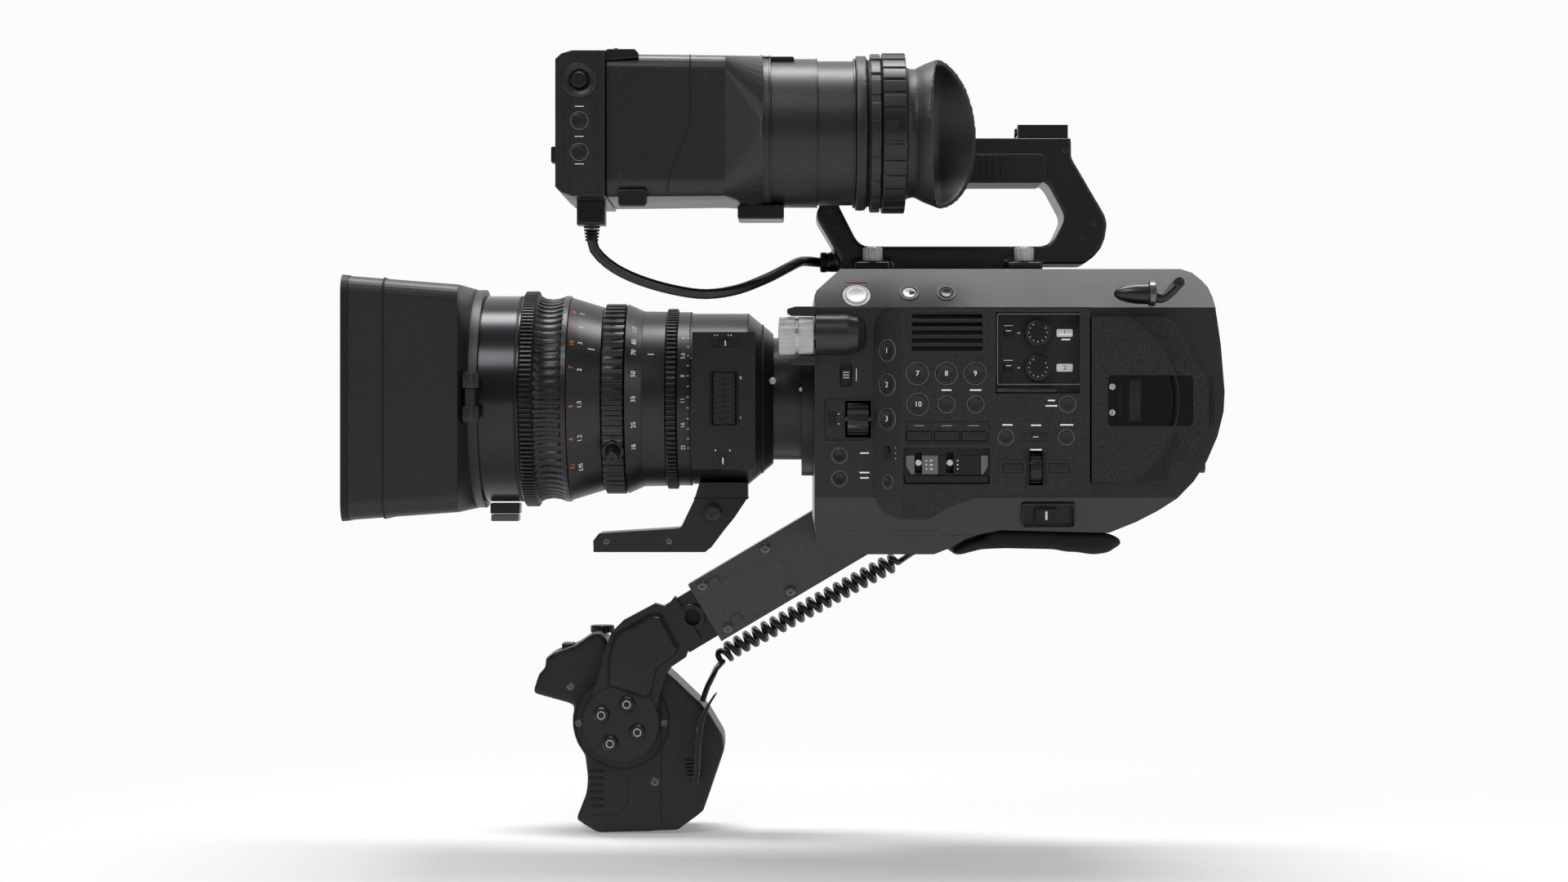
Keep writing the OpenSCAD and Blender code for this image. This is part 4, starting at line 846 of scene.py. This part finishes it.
# near-black slot behind the mode key: painted shade
prism("mode_slot", rrect(-30.2, -26.8, 63.0, 70.4, 0.8), DEEP_BLACK_AND_SHADE, "camera", BODY_Y + 1.3, BODY_Y + 1.7, bevel=0)
prism("mode_key", rrect(-29.8, -27.2, 66.6, 70.0, 0.6), BLACK, "camera", BODY_Y - 0.2, BODY_Y + 1.6)
white.dot(0.3, facing(-25.2, BODY_Y + 1.56, 69.0))
white.dot(0.3, facing(-25.2, BODY_Y + 1.56, 64.2))
button("iris_button", -24.8, BODY_Y - 0.1, 48.6, 3.1, "camera", mat=BLACK)
button("auto_button", -24.8, BODY_Y - 0.1, 37.4, 3.1, "camera", mat=BLACK)
for n in range(3):
    prism(f"preset_rib_{n}", rrect(-23.2, -20.0, 86.4 + 1.3 * n, 87.0 + 1.3 * n, 0.2, 2), GREY, "nd_switch",
          BODY_Y - 1.5, BODY_Y - 1.1, bevel=0.05)
frame_bar("preset_rim", rrect(-25.3, -17.9, 81.2, 95.2, 2.0), rrect(-24.7, -18.5, 81.9, 94.5, 1.6), BODY,
          "camera", BODY_Y - 0.2, BODY_Y + 0.5)
white.bar(0.3, 6, facing(-16.6, BODY_Y - 0.05, 88.2))
# power switch
frame_bar("power_rim", rrect(64.2, 90.5, 13.1, 25.5, 1.6), rrect(65.2, 89.5, 14.1, 24.5, 1.0), BODY, "camera",
          BODY_Y - 0.1, BODY_Y + 4.5, bevel=0.3)
power_white = Prints("power_tick", WHITE, "power_switch")
power_white.bar(1.1, 4.2, facing(76.4, BODY_Y + 1.95, 19.3))
power_white.done()
for x in (74.4, 77.4):
    white.dot(0.4, facing(x, BODY_Y + 0.3, 24.9))

# sloping edge with its buttons
TILT = math.atan2(19.8, 17)
SLOPE_M = Matrix.Translation((0, BODY_Y, BODY_TOP - 19.8)) @ Matrix.Rotation(TILT, 4, "X")


def slope_button(name, x, along, r, mat, body, rise):
    """A round button in a ring on the sloping edge; a low button's ring is painted light grey as a highlight.
    """
    m = SLOPE_M @ Matrix.Translation((x, along, 0.0))
    lathe(name + "_ring", [(r + 1.7, -0.2), (r + 1.6, 0.3), (r + 1.1, 0.55), (r + 0.35, 0.2),
                           (r + 0.3, -0.2)], mat if rise > 0.6 else HIGHLIGHT_GREY, "camera", axis="Z", segs=48,
          ring=True, matrix=m)
    return lathe(name, [(r, -0.4), (r, rise - 0.3), (r - 0.4, rise), (r - 1.2, rise), (r - 1.6, rise - 0.15),
                 (0.05, rise - 0.2)], mat, body, axis="Z", segs=48, matrix=m)


slope_button("record_cap", -16.4, 7.8, 5.3, BRIGHT, "rec_button", 1.0)
slope_button("hold_switch", 9.5, 9.6, 3.3, BRIGHT, "camera", 0.5)
slope_button("full_auto", 27.7, 9.6, 3.2, BODY, "camera", 0.4)
prism("hold_key", rrect(9.4, 12.2, 8.9, 10.3, 0.5), BLACK, "camera", 0.6, 1.0, axis="Z", matrix=SLOPE_M)
red.bar(11, 0.5, SLOPE_M @ Matrix.Translation((-16.4, 17.2, 0.28)))
red.done()

# media door: smoked window, card slots, handle groove, edge line
frame_bar("window_rim", rrect(104.1, 148.0, 62.2, 88.5, 2.4), rrect(104.9, 147.2, 63, 87.7, 2), PANEL,
          "media_door", BODY_Y - 5.2, BODY_Y - 4.4, bevel=0.15)
prism("window", rrect(105, 147.1, 63.1, 87.6, 1.9), SMOKED, "media_door", BODY_Y - 5.1, BODY_Y - 4.6,
      bevel=0.1)
# the narrow first card slot is near-black: painted shade in the slot
for n, x in enumerate((111.0, 116.0)):
    prism(f"card_slot_{n}", rrect(x, x + (1.0, 5.6)[n], 65.4, 85.6, 0.4), (DEEP_BLACK_AND_SHADE, ARM)[n], "media_door",
          BODY_Y - 5.3, BODY_Y - 5.05, bevel=0.05)
door_white = Prints("door_figures", WHITE, "media_door")
for text, z in (("1", 82.2), ("2", 69.6)):
    door_white.dot(1.5, facing(107.8, BODY_Y - 5.3, z))
door_white.done()
door_dark = Prints("door_digits", DEEP_BLACK_AND_SHADE, "media_door")
for text, z in (("1", 82.2), ("2", 69.6)):
    door_dark.figure(text, 2.2, facing(107.8, BODY_Y - 5.4, z))
door_dark.done()
arc_pts = [(94.3 + 45.1 * math.cos(a), 75.6 + 45.1 * math.sin(a)) for a in
           [math.radians(-64 + 128 * k / 40) for k in range(41)]]
inner_pts = [(94.3 + 44.5 * math.cos(a), 75.6 + 44.5 * math.sin(a)) for a in
             [math.radians(-64 + 128 * k / 40) for k in range(41)]]
prism("door_edge_light", arc_pts + inner_pts[::-1], KEY, "media_door", PANEL_Y + 0.85, PANEL_Y + 1.1, bevel=0)
# near-black handle groove: painted shade
prism("door_groove", rrect(155.9, 158.4, 63.6, 88.0, 1.0), DEEP_BLACK_AND_SHADE, "camera", BODY_Y - 0.05, BODY_Y + 0.4,
      bevel=0)
for x, z, w in ((26.7, 80.4, 7), (40.8, 80.4, 8), (-12.6, 49.9, 6),
                (-12.6, 40.4, 7), (-12.6, 37.8, 6), (70.0, 63.4, 7), (56.2, 63.6, 7), (84.8, 63.6, 9),
                (77.4, 75.4, 5), (77.4, 72.8, 8), (70.0, 51.6, 8), (84.4, 107.4, 8), (84.4, 104.9, 6)):
    y = BODY_Y - 0.03 if x < 0 else PANEL_Y - 0.03
    white.bar(w * 0.7, 0.7, facing(x, y, z))
white.done()
grey.done()
dark.done()

# strap hook: bullet nose, neck ring, hook arm and screw
HOOK_Y = BODY_Y - 5.5
nose = lathe("strap_nose", [(0.1, 108.5), (1.4, 108.9), (3.0, 111.0), (4.3, 115), (5.0, 119.5),
                            (5.2, 125.2)], BLACK, "camera", (0, HOOK_Y, 127.5), "X", 48)
lathe("strap_ring", [(3.4, 125.2), (5.4, 125.2), (6.1, 125.8), (6.1, 128.2), (5.4, 128.8), (3.4, 128.8)],
      STEEL, "camera", (0, HOOK_Y, 127.5), "X", 48)
hook_path = smooth_path([(128.5, HOOK_Y, 126.0), (132, HOOK_Y, 125.6), (136, HOOK_Y, 128.4),
                         (140, HOOK_Y + 0.5, 132.6)], 20)
hook_rings = []
for i, p in enumerate(hook_path):
    ahead = (hook_path[min(i + 1, 19)] - hook_path[max(i - 1, 0)]).normalized()
    up = ahead.cross(Vector((0, 1, 0))).normalized()
    hook_rings.append([tuple(p + up * 2.6 * math.cos(a) + Vector((0, 2.2 * math.sin(a), 0)))
                       for a in [k * math.pi / 8 for k in range(16)]])
loft("strap_hook", hook_rings, BLACK, "camera", caps=True)
screw("strap_screw", 140.0, HOOK_Y - 2.6, 132.8, 2.7, "camera", ARM)
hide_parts("strap_hooks")

# neutral-density dial and its guards
dial = lathe("filter_dial_knurled", [(8.2, -54.7), (9.0, -54.2), (9.2, -53.6), (9.2, -46.6), (8.7, -46.2),
                                     (8.7, -45.2), (9.2, -44.8), (9.2, -38.2), (8.6, -37.4)], SILVER,
             "nd_dial", (0, BODY_Y, 107.2), "X", 288, wave=notches(0.28, 72, (2, 3, 6, 7)))
lathe("filter_dial_shaft", [(3, -37.4), (3, -23.2)], STEEL, "nd_dial", (0, BODY_Y, 107.2), "X", 32)
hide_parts("nd_dial")
filt = Prints("filter_figures", DEEP_BLACK_AND_SHADE, "nd_dial")
for k, text in enumerate(("0", "1", "2", "3")):
    filt.figure(text, 3.4, on_ring(-45.8, 9.35, 12 + 40 * k, BODY_Y, 107.2, upright=True))
filt.done()
for n, (a, b, z0, z1) in enumerate(((-50.4, -36.4, 116.9, 121.4), (-49.0, -36.4, 92.8, 97.2))):
    prism(f"dial_guard_{n}", [(a, z0 + 1.2), (a + 2.0, z0), (b, z0), (b, z1), (a + 4, z1), (a, z1 - 1.2)],
          BODY, "camera", BODY_Y - 3.2, BODY_Y + 5, bevel=0.5)

# ---------------------------------------------------------------- handle

screw_lo, screw_hi = box_mm("handle_screws")
for n, x in enumerate((screw_lo.x + 5, screw_hi.x - 5)):
    for side in (-1, 1):
        z = screw_hi.z
        prof = [(4.5, z - 7.1), (5.0, z - 6.6), (5.0, z - 0.7), (4.4, z - 0.1), (3.4, z), (3.1, z - 0.5),
                (0.05, z - 0.6)]
        head = lathe(f"handle_screw_{n}_{side + 1}", prof, SILVER, "camera",
                     (x, side * (screw_hi.y - 5), 0), "Z", 96, wave=notches(0.35, 24, (1, 2)))
        if (n, side) == (0, -1):
            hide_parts("handle_screws")
for n in range(4):
    prism(f"handle_rib_{n}", rrect(46.5 + 3.4 * n, 48.1 + 3.4 * n, 188, 199, 0.6), RUBBER, "camera",
          -HANDLE_Y - 2.3, -HANDLE_Y - 1.4, bevel=0.25)
for n, (x, z) in enumerate(((-28.5, 171.5), (-25.5, 163.0), (98.0, 158.0), (103.5, 165.0), (89.2, 201.5))):
    screw(f"handle_fixing_{n}", x, -HANDLE_Y, z, 1.7, "camera", ARM)
lathe("clamp_knob", [(6.5, 13.0), (7.0, 13.6), (7.0, 20.2), (6.4, 21.0), (0.05, 21.1)], BLACK, "camera",
      (-49, 0, box_mm("rod_clamp")[0].z + 12), "Y", 96, wave=notches(0.4, 16, (1, 2)))
lathe("cable_boss", [(4.4, -33.6), (5.1, -33.0), (5.1, -30.6), (4.6, -30.2), (4.6, -29)], RUBBER, "camera",
      (0, 0, 146.5), "X", 32)

# ---------------------------------------------------------------- viewfinder

stick = lathe("joystick", [(3.2, 2.0), (3.2, 0.4), (2.4, -0.6), (2.4, -1.6), (3.7, -2.0), (3.7, -2.8),
                           (3.2, -3.2), (0.05, -3.0)], BLACK, "evf_joystick",
              (-147.1, EVF_NEAR + 0.6, 223.7), "Y", 48, wave=notches(0.15, 20, (4, 5)))
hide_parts("evf_joystick")
lathe("joystick_ring", [(4.6, 0.3), (8.2, 0.3), (8.2, -0.4), (7.6, -0.8), (5.2, -0.5), (4.6, 0.0)], EVF,
      "evf", (-147.1, EVF_NEAR, 223.7), "Y", 64, ring=True)
frame_bar("evf_inset", rrect(-154.4, -139.6, 180.6, 216.2, 2), rrect(-153.8, -140.2, 181.2, 215.6, 1.6),
          DEEP_BLACK_AND_SHADE, "evf", EVF_NEAR - 0.06, EVF_NEAR + 0.2, bevel=0)
for n, z in enumerate((204.8, 190.2)):
    button(f"evf_key_{n}", -147.1, EVF_NEAR - 0.1, z, 3.4, "evf", mat=BLACK)
evf_marks = Prints("evf_marks", WHITE, "evf")
for z in (211.4, 197.4, 184.6):
    evf_marks.bar(4.2, 0.3, facing(-147.1, EVF_NEAR - 0.06, z))
evf_marks.done()
for n, x in enumerate((-151.3, -138.4)):
    prism(f"evf_seam_{n}", rrect(x - 0.2, x + 0.2, 170.4, 236.8, 0.15, 2), DEEP_BLACK_AND_SHADE, "evf", EVF_NEAR - 0.05,
          EVF_NEAR + 0.2, bevel=0)
prism("evf_lever", rrect(-160.6, -158.1, 185.6, 193.2, 0.8), BLACK, "evf", EVF_NEAR + 4, EVF_NEAR + 12,
      bevel=0.4)
prism("evf_hook", [(-136.4, 233.4), (-136.4, 237.2), (-134, 238.6), (-121.5, 238.6), (-119.7, 236.6),
                   (-119.7, 234.6), (-133, 233.4)], BLACK, "evf", EVF_NEAR + 3, EVF_NEAR + 16, bevel=0.5)
for n, (a, b, c, d) in enumerate(((-63.3, -47.0, 233.6, 239.0), (-74.0, -51.9, 161.6, 168.4))):
    prism(f"loupe_latch_{n}", rrect(a, b, c, d, 1.2), BLACK, "loupe", EVF_Y - 14, EVF_Y + 14, bevel=0.6)
prism("loupe_lever", rrect(-129.2, -115.9, 165.2, 173.2, 1.6), BLACK, "loupe", EVF_Y - 44.4, EVF_Y - 36,
      bevel=0.8)
# loupe side seam and its screws
seam = [(-95.7, 236.0), (-95.7, 204.3), (-105.6, 179.1), (-106.3, 171.4)]
seam_line("loupe_seam", seam, 0.22, "loupe", EVF_Y - 43.75, EVF_Y - 43.0)
for n, (x, z) in enumerate(((-128.5, 228.5), (-128.5, 180.0), (-88.0, 226.0))):
    screw(f"loupe_screw_{n}", x, EVF_Y - 43.9 + (n == 2) * 0.7, z, 1.5, "loupe", ARM)
for n, x in enumerate((-61.4, -58.6)):
    lathe(f"loupe_ring_{n}", [(36.6, x - 0.5), (37.35, x - 0.4), (37.35, x + 0.4), (36.6, x + 0.5)], BLACK,
          "loupe", (0, EVF_Y, EVF_Z), segs=128, ring=True)
lathe("loupe_bright_line", [(37.0, -63.4), (37.75, -63.2), (37.75, -62.6), (37.0, -62.4)], STEEL, "loupe",
      (0, EVF_Y, EVF_Z), segs=128, ring=True)
for n, x in enumerate((-36.3, -18.4)):
    lathe(f"loupe_line_{n}", [(34.2, x - 0.5), (35.8, x - 0.45), (35.8, x + 0.3), (34.2, x + 0.5)], BLACK,
          "loupe_barrel", (0, EVF_Y, EVF_Z), segs=128, ring=True)
lathe("eyecup_ring", [(36.4, -5.2), (38.0, -5.2), (38.4, -4.8), (38.4, 5.4), (38.0, 5.8), (36.4, 5.8)], BLACK,
      "eyecup", (0, EVF_Y, EVF_Z), segs=720, ring=True,
      wave=notches(0.7, 30, (1, 2, 3, 4), 0.75))
lathe("loupe_stop_ring", [(36.4, -10.8), (37.6, -10.8), (37.9, -10.5), (37.9, -6.4), (37.6, -6.1),
                          (36.4, -6.1)], EVF, "loupe_barrel", (0, EVF_Y, EVF_Z), segs=720, ring=True,
      wave=notches(0.8, 18, (1, 2, 3, 4), 0.5))
# near-black slot in the eyecup: painted shade
prism("eyecup_slot", rrect(-4.2, 1.8, EVF_Z - 2.4, EVF_Z + 2.4, 0.8), DEEP_BLACK_AND_SHADE, "eyecup", EVF_Y - 38.6,
      EVF_Y - 37.3, bevel=0.1)
prism("plug_body", rrect(-149.4, -136.7, 158.4, 169.6, 1.4), BLACK, "evf", EVF_Y - 26.3, EVF_Y - 13.7,
      bevel=0.8)
for n in range(5):
    z = 157.6 - n * 1.5
    lathe(f"plug_relief_{n}", [(2.5, z), (3.9 - 0.2 * n, z), (3.9 - 0.2 * n, z - 0.9), (2.5, z - 0.9)],
          RUBBER, "evf", (-143, -100, 0), "Z", 32, ring=True)

# ---------------------------------------------------------------- grip arm, bracket, grip

TILT_ARM = Matrix.Translation((5, 0, 23.4)) @ Matrix.Rotation(math.radians(-30.7), 4, "Y")
for n, (x, z) in enumerate(((-108.5, 13.2), (-108.5, -13.2), (-70, 13.2), (-70, -13.2))):
    p = TILT_ARM @ Vector((x, ARM_Y - 1.0, z))
    screw(f"arm_screw_{n}", p.x, p.y, p.z, 2.6, "arm", STEEL)
for n, (x, z) in enumerate(((-148.6, -89.3), (-135.1, -83.6), (-129.5, -98.4), (-144.0, -104.4))):
    lathe(f"disc_bolt_{n}", [(4.2, 0.2), (4.2, -1.4), (3.6, -2.1), (2.3, -2.2), (2.1, -1.0), (0.05, -1.0)],
          BLACK, "bracket", (x, ARM_Y + 0.4, z), "Y", 32)
    lathe(f"disc_bolt_rim_{n}", [(1.6, -1.0), (1.6, -2.25), (2.2, -2.25), (2.2, -1.0)], SILVER, "bracket",
          (x, ARM_Y + 0.4, z), "Y", 24, ring=True)
lathe("bracket_boss", [(4.0, 0.8), (7.2, 0.8), (7.2, -0.8), (6.8, -1.3), (4.4, -1.3), (4.0, -0.8)], ARM,
      "bracket", (-100.7, ARM_Y + 5.6, -37.9), "Y", 48, ring=True)
# a near-black disc fills the bracket's see-through hole: painted shade
lathe("bracket_eye", [(0.05, 1.4), (4.6, 1.4), (4.6, 4.0), (0.05, 4.0)], DEEP_BLACK_AND_SHADE, "bracket",
      (-100.7, ARM_Y + 5.6, -37.9), "Y", 32)
for n, (x, z) in enumerate(((-161.3, -94.5), (-116.0, -94.5))):
    screw(f"grip_side_screw_{n}", x, GRIP_Y - 0.05, z, 2.0, "grip", STEEL)


rounded_copy("grip_body", "grip_shell", GRIP, "grip", 1.2, 8)
rounded_copy("grip_strap", "hand_strap", WEB, "grip", 0.6, 4)
rest = rounded_copy("shoulder_pad", "shoulder_rest", RUBBER, "shoulder_pad", 1.2, 8)
rounded_copy("handle_frame", "handle_loop", BLACK, "camera", 1.0, 7)
rounded_copy("handle_grip", "handle_sleeve", RUBBER, "camera", 0.8, 3)
rounded_copy("eyecup", "eyecup_soft", SOFT, "eyecup", 0.8, 3)
for n in range(6):
    z = -119.5 - n * 3.7
    prism(f"grip_rib_{n}", rrect(-156.6 + 0.4 * n, -147.8, z - 1.4, z, 0.5), RUBBER, "grip", GRIP_Y - 0.5,
          GRIP_Y + 1, bevel=0.3)
panel_line = [(-135.2, -122.5), (-135.2, -138.2), (-140.0, -143.0), (-156.0, -143.7)]
seam_line("grip_line", panel_line, 0.3, "grip", GRIP_Y - 0.08, GRIP_Y + 0.5)
prism("grip_seam", rrect(-117.6, -117.0, -150.0, -71.0, 0.25, 2), DEEP_BLACK_AND_SHADE, "grip", GRIP_Y - 0.08, GRIP_Y + 0.4,
      bevel=0)
screw("grip_screw_0", -120.8, GRIP_Y, -126.0, 2.2, "grip", STEEL)
screw("grip_screw_1", -165.7, GRIP_Y + 0.9, -75.0, 2.2, "grip", STEEL)
for n in range(5):
    prism(f"grip_rocker_rib_{n}", rrect(-170.6 + 1.2 * n, -170.1 + 1.2 * n, -53.4, -52.6, 0.2, 2), BLACK,
          "grip_rocker", GRIP_Y + 10, GRIP_Y + 24, bevel=0.1)
lathe("grip_dial", [(6.0, 0), (6.4, 0.5), (6.4, 3.4), (5.8, 4.0), (0.05, 4.1)], BLACK, "grip",
      (-150, GRIP_Y + 22, -47.6), "Z", 96, wave=notches(0.4, 18, (1, 2)))
for n in range(5):
    prism(f"buckle_bar_{n}", rrect(-105.4 + 0.4 * n, -96.6 + 0.2 * n, -115.4 - 2.0 * n, -114.4 - 2.0 * n,
                                   0.4, 2), BLACK, "grip", GRIP_Y - 2.4, GRIP_Y + 0.2, bevel=0.2)
PAD = [(-143.9, -59.0), (-140.9, -47.8), (-122.8, -37.2), (-117.8, -37.4), (-109.0, -53.6), (-110.2, -57.2),
       (-119.9, -64.4), (-122.8, -78.0), (-126.4, -79.4), (-144.1, -73.3)]
PAD_MID = Vector((-127.0, -58.0))
FACE = box_mm("grip_bracket")[0].y
# near-black groove round the bracket pad: painted shade
prism("bracket_groove", [tuple(PAD_MID + (Vector(p) - PAD_MID) * 1.07) for p in PAD], DEEP_BLACK_AND_SHADE, "bracket",
      FACE - 0.15, FACE + 0.4, bevel=0)
prism("bracket_pad", PAD, ARM, "bracket", FACE - 1.6, FACE + 0.6, bevel=1.4)
# near-black ring on the grip disc: painted shade of a groove
lathe("disc_groove", [(24.6, -0.12), (25.6, -0.12), (25.6, 0.3), (24.6, 0.3)], DEEP_BLACK_AND_SHADE, "grip",
      (-138.3, box_mm("grip_body")[0].y, -93.8), "Y", 96, ring=True)

# ---------------------------------------------------------------- far side and rear

RIGHT = box_mm("arm_cover")[0].y - 4
for n, (x, z) in enumerate(((-22, 96), (-22, 70), (14, 124), (130, 104), (138, 66))):
    screw(f"far_screw_{n}", x, RIGHT, z, 2.2, "camera", STEEL, sign=1)
for n, z in enumerate((112, 92)):
    lathe(f"far_socket_{n}", [(9.5, -0.2), (9.5, 1.2), (8.8, 1.8), (7.4, 1.8), (7.0, 0.4), (0.05, 0.3)],
          STEEL, "camera", (108, RIGHT, z), "Y", 64)
    for k in range(3):
        a = math.radians(90 + 120 * k)
        lathe(f"far_pin_{n}_{k}", [(1.0, 0.2), (1.0, 1.2), (0.05, 1.3)], SILVER, "camera",
              (108 + 3.2 * math.cos(a), RIGHT, z + 3.2 * math.sin(a)), "Y", 16)
for n, (y, z) in enumerate(((-30, 112), (-30, 94), (-30, 76))):
    lathe(f"rear_socket_{n}", [(6.0, -4), (6.0, 1.6), (5.6, 2.0), (4.6, 2.0), (4.2, -2), (0.05, -2)],
          SILVER, "camera", (159.0 + (z > 80) * 0.6, y, z), "X", 48)
prism("rear_door", rrect(-44, -16, 40, 62, 3), BLACK, "camera", 150, 156.0, axis="X", bevel=0.6)
prism("battery_label", rrect(2, 38, 52, 56, 1), GREY, "battery", 152.9, 153.2, axis="X", bevel=0.05)

# ---------------------------------------------------------------- stage

FLOOR_Z = cad_box[0][2] - 0.0004
rows = [(-3.0, 0.0), (2.0, 0.0)]
rows += [(2.0 + 1.2 * math.sin(math.radians(a)), 1.2 - 1.2 * math.cos(math.radians(a))) for a in range(6,
                                                                                                       91,
                                                                                                       6)]
rows += [(3.2, 6.0)]
verts = [(x, y, FLOOR_Z + z) for y, z in rows for x in (-6.0, 6.0)]
faces = [(2 * i, 2 * i + 1, 2 * i + 3, 2 * i + 2) for i in range(len(rows) - 1)]
sweep = bpy.data.meshes.new("floor")
sweep.from_pydata(verts, [], faces)
for face in sweep.polygons:
    face.use_smooth = True
floor_mat, floor_tree, floor_bsdf = nodes_of("floor_paper")
floor_bsdf.inputs["Base Color"].default_value = (0.86, 0.86, 0.86, 1)
floor_bsdf.inputs["Roughness"].default_value = 0.9
floor_new = floor_tree.nodes.new
floor_coord = floor_new("ShaderNodeTexCoord")
floor_range = floor_new("ShaderNodeVectorMath")
floor_fade = floor_new("ShaderNodeMapRange")
floor_path = floor_new("ShaderNodeLightPath")
floor_seen = floor_new("ShaderNodeMath")
floor_sharp = floor_new("ShaderNodeMath")
floor_share = floor_new("ShaderNodeMath")
floor_glow = floor_new("ShaderNodeEmission")
floor_mix = floor_new("ShaderNodeMixShader")
floor_range.operation = "LENGTH"
floor_seen.operation = "MAXIMUM"
floor_sharp.operation = "MAXIMUM"
floor_share.operation = "MULTIPLY"
floor_fade.interpolation_type = "SMOOTHSTEP"
floor_fade.inputs["From Max"].default_value = 0.65
floor_glow.inputs["Color"].default_value = (0.97, 0.97, 0.97, 1)
floor_link = floor_tree.links.new
floor_link(floor_coord.outputs["Object"], floor_range.inputs[0])
floor_link(floor_range.outputs["Value"], floor_fade.inputs["Value"])
floor_link(floor_path.outputs["Is Camera Ray"], floor_seen.inputs[0])
floor_link(floor_path.outputs["Is Glossy Ray"], floor_seen.inputs[1])
floor_link(floor_seen.outputs["Value"], floor_sharp.inputs[0])
floor_link(floor_path.outputs["Is Transmission Ray"], floor_sharp.inputs[1])
floor_link(floor_sharp.outputs["Value"], floor_share.inputs[0])
floor_link(floor_fade.outputs["Result"], floor_share.inputs[1])
floor_link(floor_share.outputs["Value"], floor_mix.inputs["Fac"])
floor_link(floor_bsdf.outputs["BSDF"], floor_mix.inputs[1])
floor_link(floor_glow.outputs["Emission"], floor_mix.inputs[2])
floor_link(floor_mix.outputs["Shader"], floor_tree.nodes["Material Output"].inputs["Surface"])
sweep.materials.append(floor_mat)
floor = bpy.data.objects.new("floor", sweep)
bpy.context.scene.collection.objects.link(floor)

world = bpy.data.worlds.new("studio")
world.use_nodes = True
world_tree = world.node_tree
world_shader = world_tree.nodes["Background"]
world_shader.inputs["Color"].default_value = (1, 1, 1, 1)
world_path = world_tree.nodes.new("ShaderNodeLightPath")
world_level = world_tree.nodes.new("ShaderNodeMapRange")
world_level.inputs["To Min"].default_value = 0.17
world_tree.links.new(world_path.outputs["Is Camera Ray"], world_level.inputs["Value"])
world_tree.links.new(world_level.outputs["Result"], world_shader.inputs["Strength"])
bpy.context.scene.world = world


def area(name, place, target, size, power):
    """A rectangular lamp aimed at a target."""
    data = bpy.data.lights.new(name, "AREA")
    data.shape = "RECTANGLE"
    data.size, data.size_y = size
    data.energy = power
    lamp = bpy.data.objects.new(name, data)
    lamp.location = place
    lamp.rotation_euler = (Vector(target) - Vector(place)).to_track_quat("-Z", "Y").to_euler()
    bpy.context.scene.collection.objects.link(lamp)


area("key", (-0.7, -1.3, 1.5), (-0.05, 0, 0.05), (1.0, 0.6), 14)
area("fill", (1.3, -1.2, 0.7), (0, 0, 0.03), (0.8, 0.8), 4)
area("top", (0.0, 0.2, 1.5), (-0.02, 0, 0), (1.3, 0.4), 26)
area("rim", (-1.1, 1.1, 0.9), (0, 0, 0.05), (0.8, 0.8), 6)
